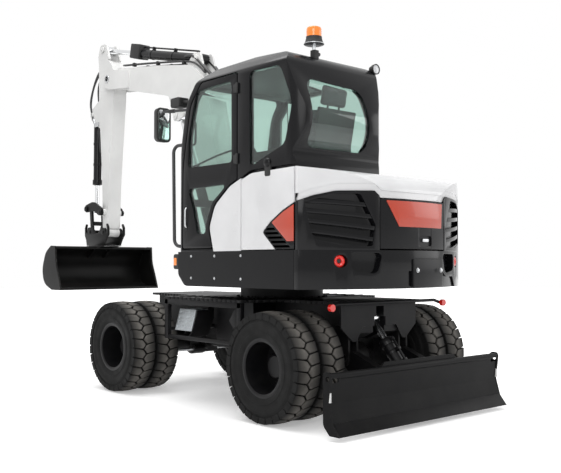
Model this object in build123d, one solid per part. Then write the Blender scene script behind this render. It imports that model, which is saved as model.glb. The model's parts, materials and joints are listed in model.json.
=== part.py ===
from build123d import *
import os
from math import atan2, cos, degrees, hypot, radians, sin, sqrt

# Wheeled excavator with swing boom, twin tyres, rear dozer blade and side cab.
# All sizes are in millimetres. X points forward along the boom, Y to the left
# (the cab side) and Z up. Places are first given from the middle of the
# wheelbase on the ground, and ORIGIN_X moves the whole model so that its
# origin is under the middle of its overall length.

# ---- driving dimensions -------------------------------------------------
WHEELBASE = 2100.0
ORIGIN_X = 636.3
HALF_WIDTH = 960.0

TYRE_R = 410.0
TYRE_WIDTH = 224.0
TWIN_GAP = 24.0
WHEEL_OUTER_Y = 955.0
RIM_R = 200.0
RIM_LIP_R = 217.0
DISC_Y = WHEEL_OUTER_Y - TYRE_WIDTH - TWIN_GAP / 2
DRUM_R = 140.0
DRUM_END = DISC_Y - 14
SPINDLE_R = 42.0
KINGPIN_Y = 470.0
STEER_ARM = 140.0
STEER_BAR_Z = 345.0

FRAME_HALF = 260.0
FRAME_BOTTOM = 575.0
DECK_Z = 860.0
DECK_TOP = 882.0
STEP_Y = 780.0
STEP_FRONT = 440.0
STEP_REAR = -500.0

SLEW_X = -220.0
RING_R = 360.0
RING_TOP = 958.0
FLOOR_Z = 988.0
BAND_TOP = 1262.0
TAIL_R = 1510.0
SIDE_Y = 920.0
SKIN = 30.0
CORNER_X = -1376.0

CAB_RIGHT = -80.0
CAB_BASE = BAND_TOP
CAB_WALL = 45.0
CAB_REAR_FLOOR = 1690.0
DOOR_GAP = 12.0
PANE = 6.0
PANE_DEPTH = 12.0

SWING_X = 310.0
BOOM_FOOT = (470.0, 1340.0)
BOOM_TIP = (2600.0, 3250.0)
ARM_ROD_PIN = (2770.0, 3620.0)
ARM_CYL_FOOT = (950.0, 3190.0)
BOOM_CYL_FOOT = (600.0, 1060.0)
BOOM_CYL_EYE = (1300.0, 2660.0)
BUCKET_PIN = (2700.0, 1520.0)
ROCKER_PIN = (2710.0, 1745.0)
ROCKER_TIP = (3030.0, 1800.0)
LINK_PIN = (3000.0, 1535.0)
BUCKET_CYL_FOOT = (3020.0, 2900.0)
BUCKET_HALF = 630.0

BLADE_PIVOT = (-1300.0, 460.0)
BLADE_CYL_FOOT = (-1672.0, 255.0)
BLADE_CYL_EYE = (-1270.0, 750.0)
BLADE_X = -1850.0
BLADE_BOTTOM = 35.0
BLADE_TOP = 430.0
TIE_DOWN = (-1742.0, 405.0)
TIE_DOWN_R = 18.0

DOOR_HINGE = (-748.0, 940.0)
SIDE_DOOR_HINGE = (-1384.0, 940.0)
REAR_HINGE = (-1690.0, 402.0)
RUN = 0.3

FRONT_X = WHEELBASE / 2
REAR_X = -WHEELBASE / 2
SIDES = (("left", 1), ("right", -1))

SWEEP = {
    "X": (lambda u, v: (0, u, v), (1, 0, 0)),
    "Y": (lambda u, v: (u, 0, v), (0, 1, 0)),
    "Z": (lambda u, v: (u, v, 0), (0, 0, 1)),
}


# ---- small makers -------------------------------------------------------
def outline(across, points):
    """Closed face from (u, v) corners, or (u, v, radius) for a rounded one."""
    lift = SWEEP[across][0]
    corners = [Vector(*lift(point[0], point[1])) for point in points]
    stops = []
    for i, point in enumerate(points):
        corner = corners[i]
        if len(point) == 2:
            stops.append((corner, None, corner))
            continue
        back = (corners[i - 1] - corner).normalized()
        ahead = (corners[(i + 1) % len(points)] - corner).normalized()
        half = radians(back.get_angle(ahead)) / 2
        reach = point[2] * cos(half) / sin(half)
        middle = corner + (back + ahead).normalized() * (point[2] / sin(half) - point[2])
        stops.append((corner + back * reach, middle, corner + ahead * reach))
    edges = []
    for i, (start, middle, end) in enumerate(stops):
        if middle is not None:
            edges.append(ThreePointArc(start, middle, end))
        edges.append(Line(end, stops[(i + 1) % len(stops)][0]))
    return make_face(edges)


def prism(across, points, low, high):
    """Outline swept along one axis, X, Y or Z, from low to high."""
    direction = SWEEP[across][1]
    solid = extrude(outline(across, points), high - low, dir=direction)
    return Pos(*(low * step for step in direction)) * solid


def block(x0, x1, y0, y1, z0, z1):
    """Box between two corners."""
    return Pos(x0, y0, z0) * Box(x1 - x0, y1 - y0, z1 - z0, align=(Align.MIN,) * 3)


def pin(place, radius, y0, y1):
    """Round bar along Y at (x, z)."""
    bar = Cylinder(radius, y1 - y0, align=(Align.CENTER, Align.CENTER, Align.MIN))
    return Pos(place[0], y0, place[1]) * Rot(-90, 0, 0) * bar


def post(place, radius, z0, z1):
    """Upright round bar at (x, y)."""
    bar = Cylinder(radius, z1 - z0, align=(Align.CENTER, Align.CENTER, Align.MIN))
    return Pos(place[0], place[1], z0) * bar


def bar(start, end, radius):
    """Round bar between two points."""
    line = Vector(*end) - Vector(*start)
    plane = Plane(origin=start, z_dir=line.normalized())
    align = (Align.CENTER, Align.CENTER, Align.MIN)
    return plane.location * Cylinder(radius, line.length, align=align)


def turned(points, place=(0.0, 0.0)):
    """Turned piece from (y, radius) corners, about an axle along Y at (x, z)."""
    face = make_face(Polyline(*[(radius, y, 0) for y, radius in points], close=True))
    return Pos(place[0], 0, place[1]) * revolve(face, axis=Axis.Y)


def pipe(points, radius, bend):
    """Round tube through points, its corners bent to one radius."""
    path = FilletPolyline(*points, radius=bend)
    start = path @ 0
    face = Plane(origin=start, z_dir=path % 0) * Circle(radius)
    return sweep(face, path=path)


def angle_of(start, end):
    """Angle of the line from start to end above the X axis, in degrees."""
    return degrees(atan2(end[1] - start[1], end[0] - start[0]))


# ---- wheels and axles ---------------------------------------------------
def tyre(centre_y, x):
    """Tyre of block section, out to the tips of its lugs."""
    half = TYRE_WIDTH / 2
    profile = [
        (-half + 24, RIM_R + RUN),
        (-half + 20, RIM_R + 22),
        (-half + 2, 270),
        (-half, 310),
        (-half + 6, 360),
        (-half + 20, 396),
        (-half + 32, TYRE_R),
    ]
    ring = profile + [(-y, r) for y, r in reversed(profile)]
    return turned([(y + centre_y, r) for y, r in ring], (x, TYRE_R))


def twin_tyres(side, x):
    """Both tyres of a twin wheel."""
    outer = WHEEL_OUTER_Y - TYRE_WIDTH / 2
    inner = outer - TYRE_WIDTH - TWIN_GAP
    return tyre(side * outer, x) + tyre(side * inner, x)


def twin_rim(side, x):
    """Deep-dish rims back to back on one disc, with the hub cap inside the dish."""
    outer = WHEEL_OUTER_Y - 14
    inner = WHEEL_OUTER_Y - 2 * TYRE_WIDTH - TWIN_GAP + 14
    tube = RIM_R - 11
    profile = [
        (inner, tube),
        (DISC_Y - 8, tube),
        (DISC_Y - 8, SPINDLE_R + RUN),
        (DISC_Y + 50, SPINDLE_R + RUN),
        (DISC_Y + 50, 0),
        (DISC_Y + 92, 0),
        (DISC_Y + 92, 78),
        (DISC_Y + 80, 92),
        (DISC_Y + 10, 104),
        (DISC_Y + 8, tube),
        (outer - 6, tube),
        (outer, RIM_LIP_R - 14),
        (outer, RIM_LIP_R),
        (outer - 5, RIM_LIP_R),
        (outer - 9, RIM_R),
        (inner + 9, RIM_R),
        (inner + 5, RIM_LIP_R),
        (inner, RIM_LIP_R),
    ]
    rim = turned([(side * y, r) for y, r in profile], (x, TYRE_R))
    for turn in range(8):
        spoke = radians(22.5 + 45 * turn)
        place = (x + 138 * cos(spoke), TYRE_R + 138 * sin(spoke))
        low, high = sorted((side * (DISC_Y + 8), side * (DISC_Y + 26)))
        rim += pin(place, 15, low, high)
    return rim


def spindle(side, x):
    """Brake drum with the spindle that the wheel's hub turns on."""
    low, high = sorted((side * 532, side * DRUM_END))
    made = pin((x, TYRE_R), DRUM_R, low, high)
    low, high = sorted((side * (DRUM_END - 1), side * (DISC_Y + 45)))
    return made + pin((x, TYRE_R), SPINDLE_R, low, high)


def front_axle():
    """Steered axle on a lengthwise trunnion, with its kingpins and steering cylinder."""
    z = TYRE_R
    axle = pin((FRONT_X, z), 75, -400, 400)
    axle += turned([(-130, 0), (-130, 70), (-60, 128), (60, 128), (130, 70), (130, 0)], (FRONT_X, z))
    axle += bar((FRONT_X - 260, 0, z), (FRONT_X + 260, 0, z), 36)
    axle += pin((FRONT_X - STEER_ARM, STEER_BAR_Z), 36, -130, 130)
    for _, side in SIDES:
        axle += post((FRONT_X, side * KINGPIN_Y), 50, z - 78, z + 78)
        low, high = sorted((side * 395, side * (KINGPIN_Y - 30)))
        axle += block(FRONT_X - 45, FRONT_X + 45, low, high, z - 60, z + 60)
        axle += post((FRONT_X, side * KINGPIN_Y), 25, z - 132, z + 132)
        low, high = sorted((side * 60, side * 100))
        axle += block(FRONT_X - STEER_ARM, FRONT_X - 40, low, high, STEER_BAR_Z - 14, STEER_BAR_Z + 34)
    bore = pin((FRONT_X - STEER_ARM, STEER_BAR_Z), 14 + RUN, -131, 131)
    return axle - bore


def steering_rod():
    """Double-ended steering rod, an eye over each steering arm."""
    x = FRONT_X - STEER_ARM
    reach = KINGPIN_Y - 30
    rod = pin((x, STEER_BAR_Z), 14, -reach + 20, reach - 20)
    for _, side in SIDES:
        rod += post((x, side * reach), 24, STEER_BAR_Z - 13, STEER_BAR_Z + 15)
    return rod


def knuckle(side):
    """C-shaped steering knuckle on the kingpin, carrying the wheel's drum."""
    z = TYRE_R
    y = side * KINGPIN_Y
    ears = post((FRONT_X, y), 50, z - 128, z - 84) + post((FRONT_X, y), 50, z + 84, z + 128)
    low, high = sorted((y, side * 560))
    ears += block(FRONT_X - 50, FRONT_X + 50, low, high, z - 128, z - 84)
    ears += block(FRONT_X - 50, FRONT_X + 50, low, high, z + 84, z + 128)
    drum = spindle(side, FRONT_X)
    low, high = sorted((y - side * 52, y))
    arm_z = STEER_BAR_Z - 62
    arm = block(FRONT_X - STEER_ARM, FRONT_X, low, high, arm_z, arm_z + 44)
    tip = post((FRONT_X - STEER_ARM, side * (KINGPIN_Y - 30)), 22, arm_z, arm_z + 44)
    made = ears + drum + arm + tip
    return made - post((FRONT_X, y), 25 + RUN, z - 140, z + 140)


def rear_axle():
    """Fixed drive axle with its drums, bolted under the frame."""
    z = TYRE_R
    axle = pin((REAR_X, z), 85, -560, 560)
    axle += turned([(-150, 0), (-150, 80), (-70, 138), (70, 138), (150, 80), (150, 0)], (REAR_X, z))
    for _, side in SIDES:
        axle += spindle(side, REAR_X)
        low, high = sorted((side * 180, side * 250))
        axle += block(REAR_X - 80, REAR_X + 80, low, high, z + 40, FRAME_BOTTOM)
    return axle


def drive_line():
    """Travel gearbox under the frame with the shafts to both axles."""
    box = prism("Y", [(-620, 330, 30), (-300, 330, 30), (-300, FRAME_BOTTOM), (-620, FRAME_BOTTOM)], -110, 110)
    box += bar((REAR_X + 139, 0, TYRE_R), (-620, 0, TYRE_R), 34)
    box += bar((-300, 0, TYRE_R), (FRONT_X - 262, 0, TYRE_R), 34)
    return box


# ---- chassis ------------------------------------------------------------
def chassis_frame():
    """Box frame with the axle hangers, blade bracket and turntable seat."""
    half = FRAME_HALF
    side_view = [
        (-1340, DECK_Z), (-1340, 640), (-1180, FRAME_BOTTOM), (1200, FRAME_BOTTOM),
        (1310, 660), (1310, DECK_Z),
    ]
    frame = prism("Y", side_view, -half, half)
    for x in (FRONT_X - 250, FRONT_X + 230):
        hanger = prism("X", [(-90, 680), (-60, 350, 20), (60, 350, 20), (90, 680)], x, x + 20)
        frame += hanger - bar((x - 5, 0, TYRE_R), (x + 25, 0, TYRE_R), 36 + RUN)
    back = [(-430, DECK_Z), (-430, 690), (-280, 560, 40), (-190, 690), (190, 690), (280, 560, 40), (430, 690), (430, DECK_Z)]
    frame += prism("X", back, -1356, -1338)
    for _, side in SIDES:
        for inner in (232.0, 322.0):
            low, high = sorted((side * inner, side * (inner + 18)))
            ear = [(-1340, 700), (-1345, 400, 45), (-1245, 400, 45), (-1200, 700)]
            frame += prism("Y", ear, low, high) - pin(BLADE_PIVOT, 25 + RUN, low - 1, high + 1)
    frame -= block(-1357, -1300, -64, 64, FRAME_BOTTOM - 20, 760)
    return frame - block(-1357, -1150, -44, 44, FRAME_BOTTOM - 20, DECK_Z - 20)


def deck():
    """Tread deck over the frame, wide between the wheels, with toothed edges."""
    plan = [
        (-1400, -430), (-1400, 430), (-620, 430), (STEP_REAR, STEP_Y), (STEP_FRONT, STEP_Y),
        (560, 430), (1330, 330), (1330, -330), (560, -430), (STEP_FRONT, -STEP_Y),
        (STEP_REAR, -STEP_Y), (-620, -430),
    ]
    return prism("Z", plan, DECK_Z, DECK_TOP)


def slew_seat():
    """Outer turntable ring fixed to the deck."""
    ring = post((SLEW_X, 0), RING_R, DECK_TOP, RING_TOP)
    return ring - post((SLEW_X, 0), RING_R - 80, DECK_TOP - 1, RING_TOP + 1)


def side_frame(side):
    """Open step frame between the wheels, with its lower rail."""
    low, high = sorted((side * (STEP_Y - 40), side * STEP_Y))
    made = block(STEP_FRONT - 50, STEP_FRONT, low, high, 520, DECK_Z)
    made += block(STEP_REAR, STEP_REAR + 50, low, high, 520, DECK_Z)
    made += block(STEP_REAR, STEP_FRONT, low, high, DECK_Z - 45, DECK_Z)
    y = side * (STEP_Y - 20)
    made += bar((STEP_REAR, y, 538), (STEP_FRONT, y, 538), 18)
    for x in (STEP_REAR + 20, STEP_FRONT - 20):
        made += bar((x, side * (FRAME_HALF + 1), 600), (x, y, 600), 18)
    return made


def step_tread(side):
    """Galvanised step bent from slotted plate."""
    y0, y1 = sorted((side * 520, side * 735))
    step = [(330, 806), (100, 806), (100, 796), (322, 796), (230, 560), (242, 556)]
    return prism("Y", step, y0, y1)


def belly_box(side):
    """Closed box hung under the deck beside the frame."""
    y0, y1 = sorted((side * (FRAME_HALF + 4), side * 500))
    return prism("Y", [(-430, DECK_Z), (-430, 500, 30), (60, 450, 30), (60, DECK_Z)], y0, y1)


def lamp_bar():
    """Cross tube behind the deck with a round red lamp at each end."""
    z = DECK_TOP - 10
    tube = pipe([(-1440, -640, 850), (-1440, -560, z), (-1440, 560, z), (-1440, 640, 850)], 12, 30)
    for y in (-300, 300):
        tube += block(-1440, -1400, y - 15, y + 15, z - 8, z + 8)
    return tube


def rear_lamps():
    """Round red lamps on the ends of the cross tube."""
    made = Part()
    for _, side in SIDES:
        made += bar((-1480, side * 640, 850), (-1452, side * 640, 850), 26)
    return made


# ---- dozer blade --------------------------------------------------------
def blade():
    """Curved dozer blade with rail, cutting edge, end plates and two arms."""
    face = [
        (BLADE_X + 82, BLADE_TOP), (BLADE_X + 100, BLADE_TOP), (BLADE_X + 118, 240),
        (BLADE_X + 40, BLADE_BOTTOM), (BLADE_X, BLADE_BOTTOM), (BLADE_X + 60, 110), (BLADE_X + 98, 240),
    ]
    made = prism("Y", face, -HALF_WIDTH + 12, HALF_WIDTH - 12)
    made += pin((BLADE_X + 96, BLADE_TOP - 10), 24, -HALF_WIDTH + 12, HALF_WIDTH - 12)
    end = [
        (BLADE_X, BLADE_BOTTOM), (BLADE_X + 60, 110), (BLADE_X + 96, 240), (BLADE_X + 68, BLADE_TOP + 20, 30),
        (BLADE_X + 150, BLADE_TOP + 20, 30), (BLADE_X + 150, BLADE_BOTTOM + 60, 60), (BLADE_X + 90, BLADE_BOTTOM),
    ]
    for _, side in SIDES:
        low, high = sorted((side * (HALF_WIDTH - 90), side * (HALF_WIDTH - 14)))
        made -= pin(TIE_DOWN, TIE_DOWN_R + 16, low, high)
        low, high = sorted((side * (HALF_WIDTH - 14), side * HALF_WIDTH))
        made += prism("Y", end, low, high)
        made -= pin(TIE_DOWN, TIE_DOWN_R, low - 1, high + 1)
        low, high = sorted((side * 254, side * 318))
        arm = [
            (BLADE_PIVOT[0] + 45, BLADE_PIVOT[1] + 20, 25), (BLADE_PIVOT[0] + 45, BLADE_PIVOT[1] - 45, 25),
            (BLADE_X + 170, 90), (BLADE_X + 100, 90), (BLADE_X + 104, 380), (BLADE_X + 160, 380),
            (BLADE_PIVOT[0] - 60, BLADE_PIVOT[1] + 50, 30),
        ]
        made += prism("Y", arm, low, high)
    rib = [(-500, BLADE_TOP - 60), (-400, BLADE_TOP + 45), (400, BLADE_TOP + 45), (500, BLADE_TOP - 60)]
    made += prism("X", rib, BLADE_X + 100, BLADE_X + 112)
    made += block(BLADE_X + 100, BLADE_X + 190, -254, 254, 90, 120)
    for y in (-76, 58):
        ear = [(BLADE_X + 105, 330), (BLADE_X + 105, 150), (BLADE_CYL_FOOT[0] + 45, 200, 30), (BLADE_CYL_FOOT[0] + 45, 300, 30)]
        made += prism("Y", ear, y, y + 18)
    made += pin(BLADE_CYL_FOOT, 20, -82, 82)
    for _, side in SIDES:
        low, high = sorted((side * 228, side * 344))
        made += pin(BLADE_PIVOT, 25, low, high)
    return made


# ---- hydraulic cylinders ------------------------------------------------
def cylinder(foot, eye, barrel_r, rod_r, barrel_end, tail, eye_half, y=0.0):
    """Barrel and rod from foot to eye, built along X and laid on their line."""
    length = hypot(eye[0] - foot[0], eye[1] - foot[1])
    eye_r = rod_r + 22
    barrel = pin((0, 0), eye_r, -eye_half, eye_half) + bar((eye_r - 15, 0, 0), (barrel_end, 0, 0), barrel_r)
    barrel += bar((barrel_end - 60, 0, 0), (barrel_end, 0, 0), barrel_r + 7)
    barrel -= bar((tail[0], 0, 0), (barrel_end + 1, 0, 0), rod_r + RUN)
    barrel -= pin((0, 0), 20 + RUN, -eye_half - 1, eye_half + 1)
    rod = bar((tail[1], 0, 0), (length - eye_r + 12, 0, 0), rod_r)
    rod += pin((length, 0), eye_r, -eye_half, eye_half) - pin((length, 0), 20 + RUN, -eye_half - 1, eye_half + 1)
    lay = Pos(foot[0], y, foot[1]) * Rot(0, -angle_of(foot, eye), 0)
    return lay * barrel, lay * rod


# ---- upper structure ----------------------------------------------------
def tail_plan(side_y, radius, front_x):
    """Plan of the upper: straight sides and a tail round the slew centre."""
    corner = SLEW_X - sqrt(radius ** 2 - side_y ** 2)
    edges = [
        Line((front_x, side_y), (corner, side_y)),
        ThreePointArc((corner, side_y), (SLEW_X - radius, 0), (corner, -side_y)),
        Line((corner, -side_y), (front_x, -side_y)),
        Line((front_x, -side_y), (front_x, side_y)),
    ]
    return make_face(edges)


def tail_block(inset, z0, z1, front_x):
    """Tail plan, inset all round, from z0 to z1."""
    face = tail_plan(SIDE_Y - inset, TAIL_R - inset, front_x)
    return Pos(0, 0, z0) * extrude(face, z1 - z0)


# x, y and top of the posts that the cab stands on
CAB_POSTS = (
    (-80, 0, CAB_BASE),
    (-80, 820, CAB_BASE),
    (-390, 0, CAB_BASE),
    (-390, 820, CAB_BASE),
    (-1332, -40, CAB_REAR_FLOOR),
    (-1332, 820, CAB_REAR_FLOOR),
)


def upper_frame():
    """Slewing floor with the inner ring, its webs and the swing nose."""
    floor = tail_block(60, FLOOR_Z, FLOOR_Z + 40, 0)
    floor += post((SLEW_X, 0), RING_R + 30, RING_TOP + 6, FLOOR_Z + 1)
    floor += post((SLEW_X, 0), RING_R - 86, DECK_TOP + 8, FLOOR_Z + 1)
    nose = [
        (-40, -165), (SWING_X - 20, -100), (SWING_X + 58, -84, 60), (SWING_X + 98, 0, 60),
        (SWING_X + 58, 84, 60), (SWING_X - 20, 100), (-40, 165),
    ]
    for z0, z1 in ((FLOOR_Z, FLOOR_Z + 45), (1200, 1245)):
        floor += prism("Z", nose, z0, z1)
    for _, side in SIDES:
        low, high = sorted((side * 140, side * 165))
        floor += block(-900, -10, low, high, FLOOR_Z + 39, 1245)
    floor += block(-40, -10, -165, 165, FLOOR_Z + 39, 1245)
    for x, y, top in CAB_POSTS:
        floor += post((x, y), 26, FLOOR_Z + 39, top)
    return floor - post((SWING_X, 0), 35 + RUN, FLOOR_Z - 5, 1250)


def counterweight():
    """Cast tail weight round the back, with lamp pockets."""
    ring = tail_block(0, FLOOR_Z - 4, BAND_TOP, CORNER_X) - tail_block(190, FLOOR_Z - 5, BAND_TOP + 1, 0)
    ring -= tail_block(56, FLOOR_Z - 5, FLOOR_Z + 41, 0)
    for y in (-690, 690):
        lamp = bar((-1500, y, 1165), (-1800, y, 1165), 46)
        ring -= lamp & tail_block(-50, 1000, 1300, CORNER_X)
    return ring


def skirt(side):
    """Side band below the cab and covers, rounded at its front corner."""
    low, high = sorted((side * (SIDE_Y - SKIN), side * SIDE_Y))
    band = [
        (CORNER_X + 4, FLOOR_Z - 4), (-60, FLOOR_Z - 4, 80), (35, FLOOR_Z + 90, 60),
        (35, BAND_TOP), (CORNER_X + 4, BAND_TOP),
    ]
    made = prism("Y", band, low, high)
    low, high = sorted((side * 300, side * (SIDE_Y - SKIN)))
    made += block(5, 35, low, high, FLOOR_Z + 90, BAND_TOP)
    return made


def body_form(inset, z0=BAND_TOP):
    """Engine cover volume behind the cab, crowned down towards the tail."""
    plan = tail_block(inset, z0, 2000, -600)
    top = 1858 - inset
    side_view = [
        (-500, z0 - 1), (-500, top - 60, 60), (-1330, top, 300), (-1640, top - 45, 200),
        (SLEW_X - TAIL_R + inset - 30, 1560), (SLEW_X - TAIL_R + inset - 30, z0 - 1),
    ]
    return plan & prism("Y", side_view, -1000, 1000)


def cover_shell():
    """Skin of the engine cover."""
    shell = body_form(0) - body_form(SKIN, BAND_TOP)
    shell -= block(CORNER_X - 14, 0, CAB_RIGHT - 14, 1000, 1200, 2000)
    return shell - block(-940, 0, -1000, 1000, 1200, 2000)


REAR_DOOR = [(395, 1272), (395, 1585, 20), (-760, 1585, 20), (-760, 1272)]


def grown(points, amount):
    """Outline in Y and Z pushed out from its middle by a small amount."""
    mid_u = sum(point[0] for point in points) / len(points)
    mid_v = sum(point[1] for point in points) / len(points)
    made = []
    for point in points:
        u = point[0] + (amount if point[0] > mid_u else -amount)
        v = point[1] + (amount if point[1] > mid_v else -amount)
        made.append((u, v) + tuple(point[2:]))
    return made


def tail_pieces():
    """White hood with its openings, and the rear door, badge and louvres in them."""
    shell = cover_shell()
    rear = prism("X", grown(REAR_DOOR, 6), -1900, -1450)
    louvre = prism("Y", [(-1396, 1274), (-1720, 1274), (-1720, 1560), (-1640, 1650, 40), (-1396, 1690)], 430, 1000)
    right = prism("Y", [(-1000, 1300, 30), (-1380, 1300, 30), (-1380, 1540, 30), (-1000, 1600, 30)], -1000, -850)
    hood = shell - rear - louvre - right
    door = shell & prism("X", REAR_DOOR, -1900, -1450)
    skin = body_form(-4) - body_form(0)
    door += skin & prism("X", [(300, 1575), (-700, 1575), (-700, 1440), (190, 1425)], -1900, -1450)
    corner = shell & louvre
    grille = shell & right
    for i in range(5):
        z = 1330 + 62 * i
        corner -= block(-1680, -1430, 500, 1000, z, z + 26)
    for i in range(4):
        z = 1335 + 55 * i
        grille -= block(-1350, -1030, -1000, -880, z, z + 22)
    return {
        "hood": hood,
        "rear_door": door,
        "louvre_left": corner,
        "grille_right": grille,
    }


def right_cover():
    """Tank cover right of the boom, with a crowned lid."""
    side_view = [
        (-60, BAND_TOP), (-45, 1560, 120), (-420, 1700, 200), (-936, 1770), (-936, BAND_TOP),
    ]
    outer = prism("Y", side_view, -SIDE_Y, CAB_RIGHT - 16)
    return outer - block(-900, -100, -SIDE_Y + SKIN, CAB_RIGHT - 46, BAND_TOP - 1, 1520)


def engine_block():
    """Engine and pump as one plain mass under the seat."""
    return block(-1300, -950, -520, 560, FLOOR_Z + 40, 1600)


def side_panel():
    """Fixed white panel ahead of the side door, curved along the cab sill."""
    shape = [
        (-446, BAND_TOP), (-394, 1450, 117), (-466, 1621, 157), (-652, 1757, 197),
        (-784, 1808), (-784, BAND_TOP),
    ]
    return prism("Y", shape, SIDE_Y - SKIN, SIDE_Y)


def side_door():
    """White service door with its red corner and slatted vent."""
    shape = [(-790, BAND_TOP + 6), (-790, 1796), (-905, 1838, 200), (-1374, 1848), (-1374, BAND_TOP + 6)]
    vent = [(-1170, BAND_TOP + 5), (-1030, 1418), (-1120, 1490, 60), (-1375, 1592), (-1375, BAND_TOP + 5)]
    panel = prism("Y", shape, SIDE_Y - SKIN, SIDE_Y)
    door = panel - prism("Y", vent, SIDE_Y - SKIN - 1, SIDE_Y + 1)
    filling = panel & prism("Y", vent, SIDE_Y - SKIN - 1, SIDE_Y + 1)
    red = [(-1130, 1470), (-1374, 1578), (-1374, 1318), (-1335, 1318)]
    corner = prism("Y", red, SIDE_Y - SKIN, SIDE_Y) & filling
    vent_piece = filling - corner
    for i in range(4):
        z = 1288 + 34 * i
        vent_piece -= block(-1330, -1060, SIDE_Y - SKIN - 1, SIDE_Y + 1, z, z + 16) & prism(
            "Y", [(-1160, 1275), (-1062, 1415), (-1130, 1440), (-1310, 1275)], 880, 930)
    return {"side_door": door, "side_door_vent": vent_piece + corner}


# ---- cab ----------------------------------------------------------------
CAB_SIDE = [
    (35, CAB_BASE), (30, 1950, 600), (-75, 2470, 300), (-320, 2845, 260), (-1290, 2845, 200),
    (-1415, 2060, 70), (-1380, 1985, 30), (-1380, CAB_REAR_FLOOR), (-600, CAB_REAR_FLOOR, 60),
    (-462, 1625, 120), (-389, 1450, 120), (-440, CAB_BASE),
]
# Edge of the side covers, which lie against the cab's left wall
SILL = [
    (-440, CAB_BASE - 1), (-389, 1450, 120), (-462, 1625, 160), (-650, 1762, 200), (-905, 1862, 100),
    (-1440, 1868), (-1440, CAB_BASE - 1),
]
CAB_FRONT = [
    (CAB_RIGHT, CAB_BASE - 1), (SIDE_Y, CAB_BASE - 1), (SIDE_Y, 2690, 60), (790, 2870, 160),
    (50, 2870, 160), (CAB_RIGHT, 2690, 60),
]
CAB_PLAN = [
    (40, CAB_RIGHT, 60), (40, SIDE_Y, 60), (-1420, SIDE_Y, 170), (-1420, CAB_RIGHT, 170),
]
DOOR = [
    (-32, 1290, 20), (-36, 1950, 600), (-140, 2455, 200), (-300, 2655, 60), (-735, 2655, 20),
    (-735, 1807), (-645, 1772, 200), (-453, 1633, 155), (-378, 1449, 115), (-425, 1290, 15),
]
DOOR_UPPER = [(-105, 1945, 30), (-108, 2200, 300), (-215, 2560, 60), (-668, 2575, 40), (-672, 1940, 30)]
DOOR_LOWER = [
    (-98, 1772, 30), (-625, 1780, 20), (-425, 1645, 150), (-335, 1450, 110), (-350, 1400, 30),
    (-228, 1405, 30), (-165, 1620, 100),
]
QUARTER = [(-885, 2640, 40), (-1250, 2630, 80), (-1345, 2330, 150), (-1262, 2050, 80), (-890, 1885, 30)]
RIGHT_WINDOW = [(-110, 1640, 60), (-140, 2440, 60), (-290, 2620, 60), (-1230, 2620, 80), (-1290, 2080, 60), (-700, 1900, 150), (-520, 1640, 80)]
WINDSCREEN = [(-20, 1700, 50), (860, 1700, 50), (840, 2640, 60), (0, 2640, 60)]
LOWER_SCREEN = [(-10, 1340, 40), (850, 1340, 40), (860, 1640, 40), (-20, 1640, 40)]
REAR_WINDOW = [(40, 2040, 80), (800, 2040, 80), (770, 2600, 80), (70, 2600, 80)]
ROOF_WINDOW = [(-420, 120, 40), (-420, 720, 40), (-680, 720, 40), (-680, 120, 40)]


def inset_face(across, points, amount):
    """Outline pushed inwards by an amount."""
    face = outline(across, points)
    return face if amount == 0 else offset(face, -amount, kind=Kind.INTERSECTION)


def cab_form(inset):
    """Cab volume from its side, front and plan outlines, all inset together."""
    side = extrude(inset_face("Y", CAB_SIDE, inset), 1200, dir=(0, 1, 0))
    front = extrude(inset_face("X", CAB_FRONT, inset), 1700, dir=(1, 0, 0))
    plan = extrude(inset_face("Z", CAB_PLAN, inset), 3000, dir=(0, 0, 1))
    return (Pos(0, -150, 0) * side) & (Pos(-1500, 0, 0) * front) & plan


def cab_pieces():
    """Hollow cab with its door and glazing."""
    outer = cab_form(0)
    shell = outer - cab_form(CAB_WALL)
    pane = cab_form(PANE_DEPTH) - cab_form(PANE_DEPTH + PANE)
    inner = SIDE_Y - CAB_WALL
    deep = inner - 7
    opening = prism("Y", DOOR, inner, 1000)
    gap = Pos(0, deep, 0) * extrude(offset(outline("Y", DOOR), DOOR_GAP, kind=Kind.INTERSECTION), 300, dir=(0, 1, 0))
    door = shell & opening
    fixed = [
        prism("Y", QUARTER, deep, 1000),
        prism("Y", RIGHT_WINDOW, -200, 0),
        prism("X", WINDSCREEN, -300, 100),
        prism("X", LOWER_SCREEN, -100, 100),
        prism("X", REAR_WINDOW, -1500, -1200),
    ]
    frame = shell - gap - prism("Y", SILL, SIDE_Y - SKIN - 7, 1000)
    glass = Part()
    for cutter in fixed:
        frame -= cutter
        glass += pane & cutter
    door_glass = Part()
    for points in (DOOR_UPPER, DOOR_LOWER):
        cutter = prism("Y", points, deep, 1000)
        door -= cutter
        door_glass += pane & cutter
    return {"cab_frame": frame, "cab_glass": glass, "cab_door": door, "cab_door_glass": door_glass}


def seat():
    """Operator's seat with its back and arm rests."""
    floor = CAB_REAR_FLOOR + CAB_WALL
    cushion = [(-650, floor + 65, 30), (-670, floor + 175, 35), (-1190, floor + 150, 30), (-1190, floor + 65, 20)]
    back = [(-1090, floor + 90), (-1190, 2440, 30), (-1255, 2440, 30), (-1180, floor + 90)]
    made = prism("Y", cushion, 190, 650) + prism("Y", back, 205, 635)
    return made + block(-1100, -720, 240, 600, floor, floor + 80)


def console():
    """Arm consoles, pedestal and steering column."""
    floor = CAB_REAR_FLOOR + CAB_WALL
    made = Part()
    for y0, y1 in ((80, 170), (670, 760)):
        view = [(-620, 1960, 30), (-610, 2020, 30), (-1010, 2020, 30), (-1010, floor), (-860, floor), (-800, 1950)]
        made += prism("Y", view, y0, y1)
        made += post((-660, (y0 + y1) / 2), 20, 2015, 2150)
    return made + steering_column()


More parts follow.
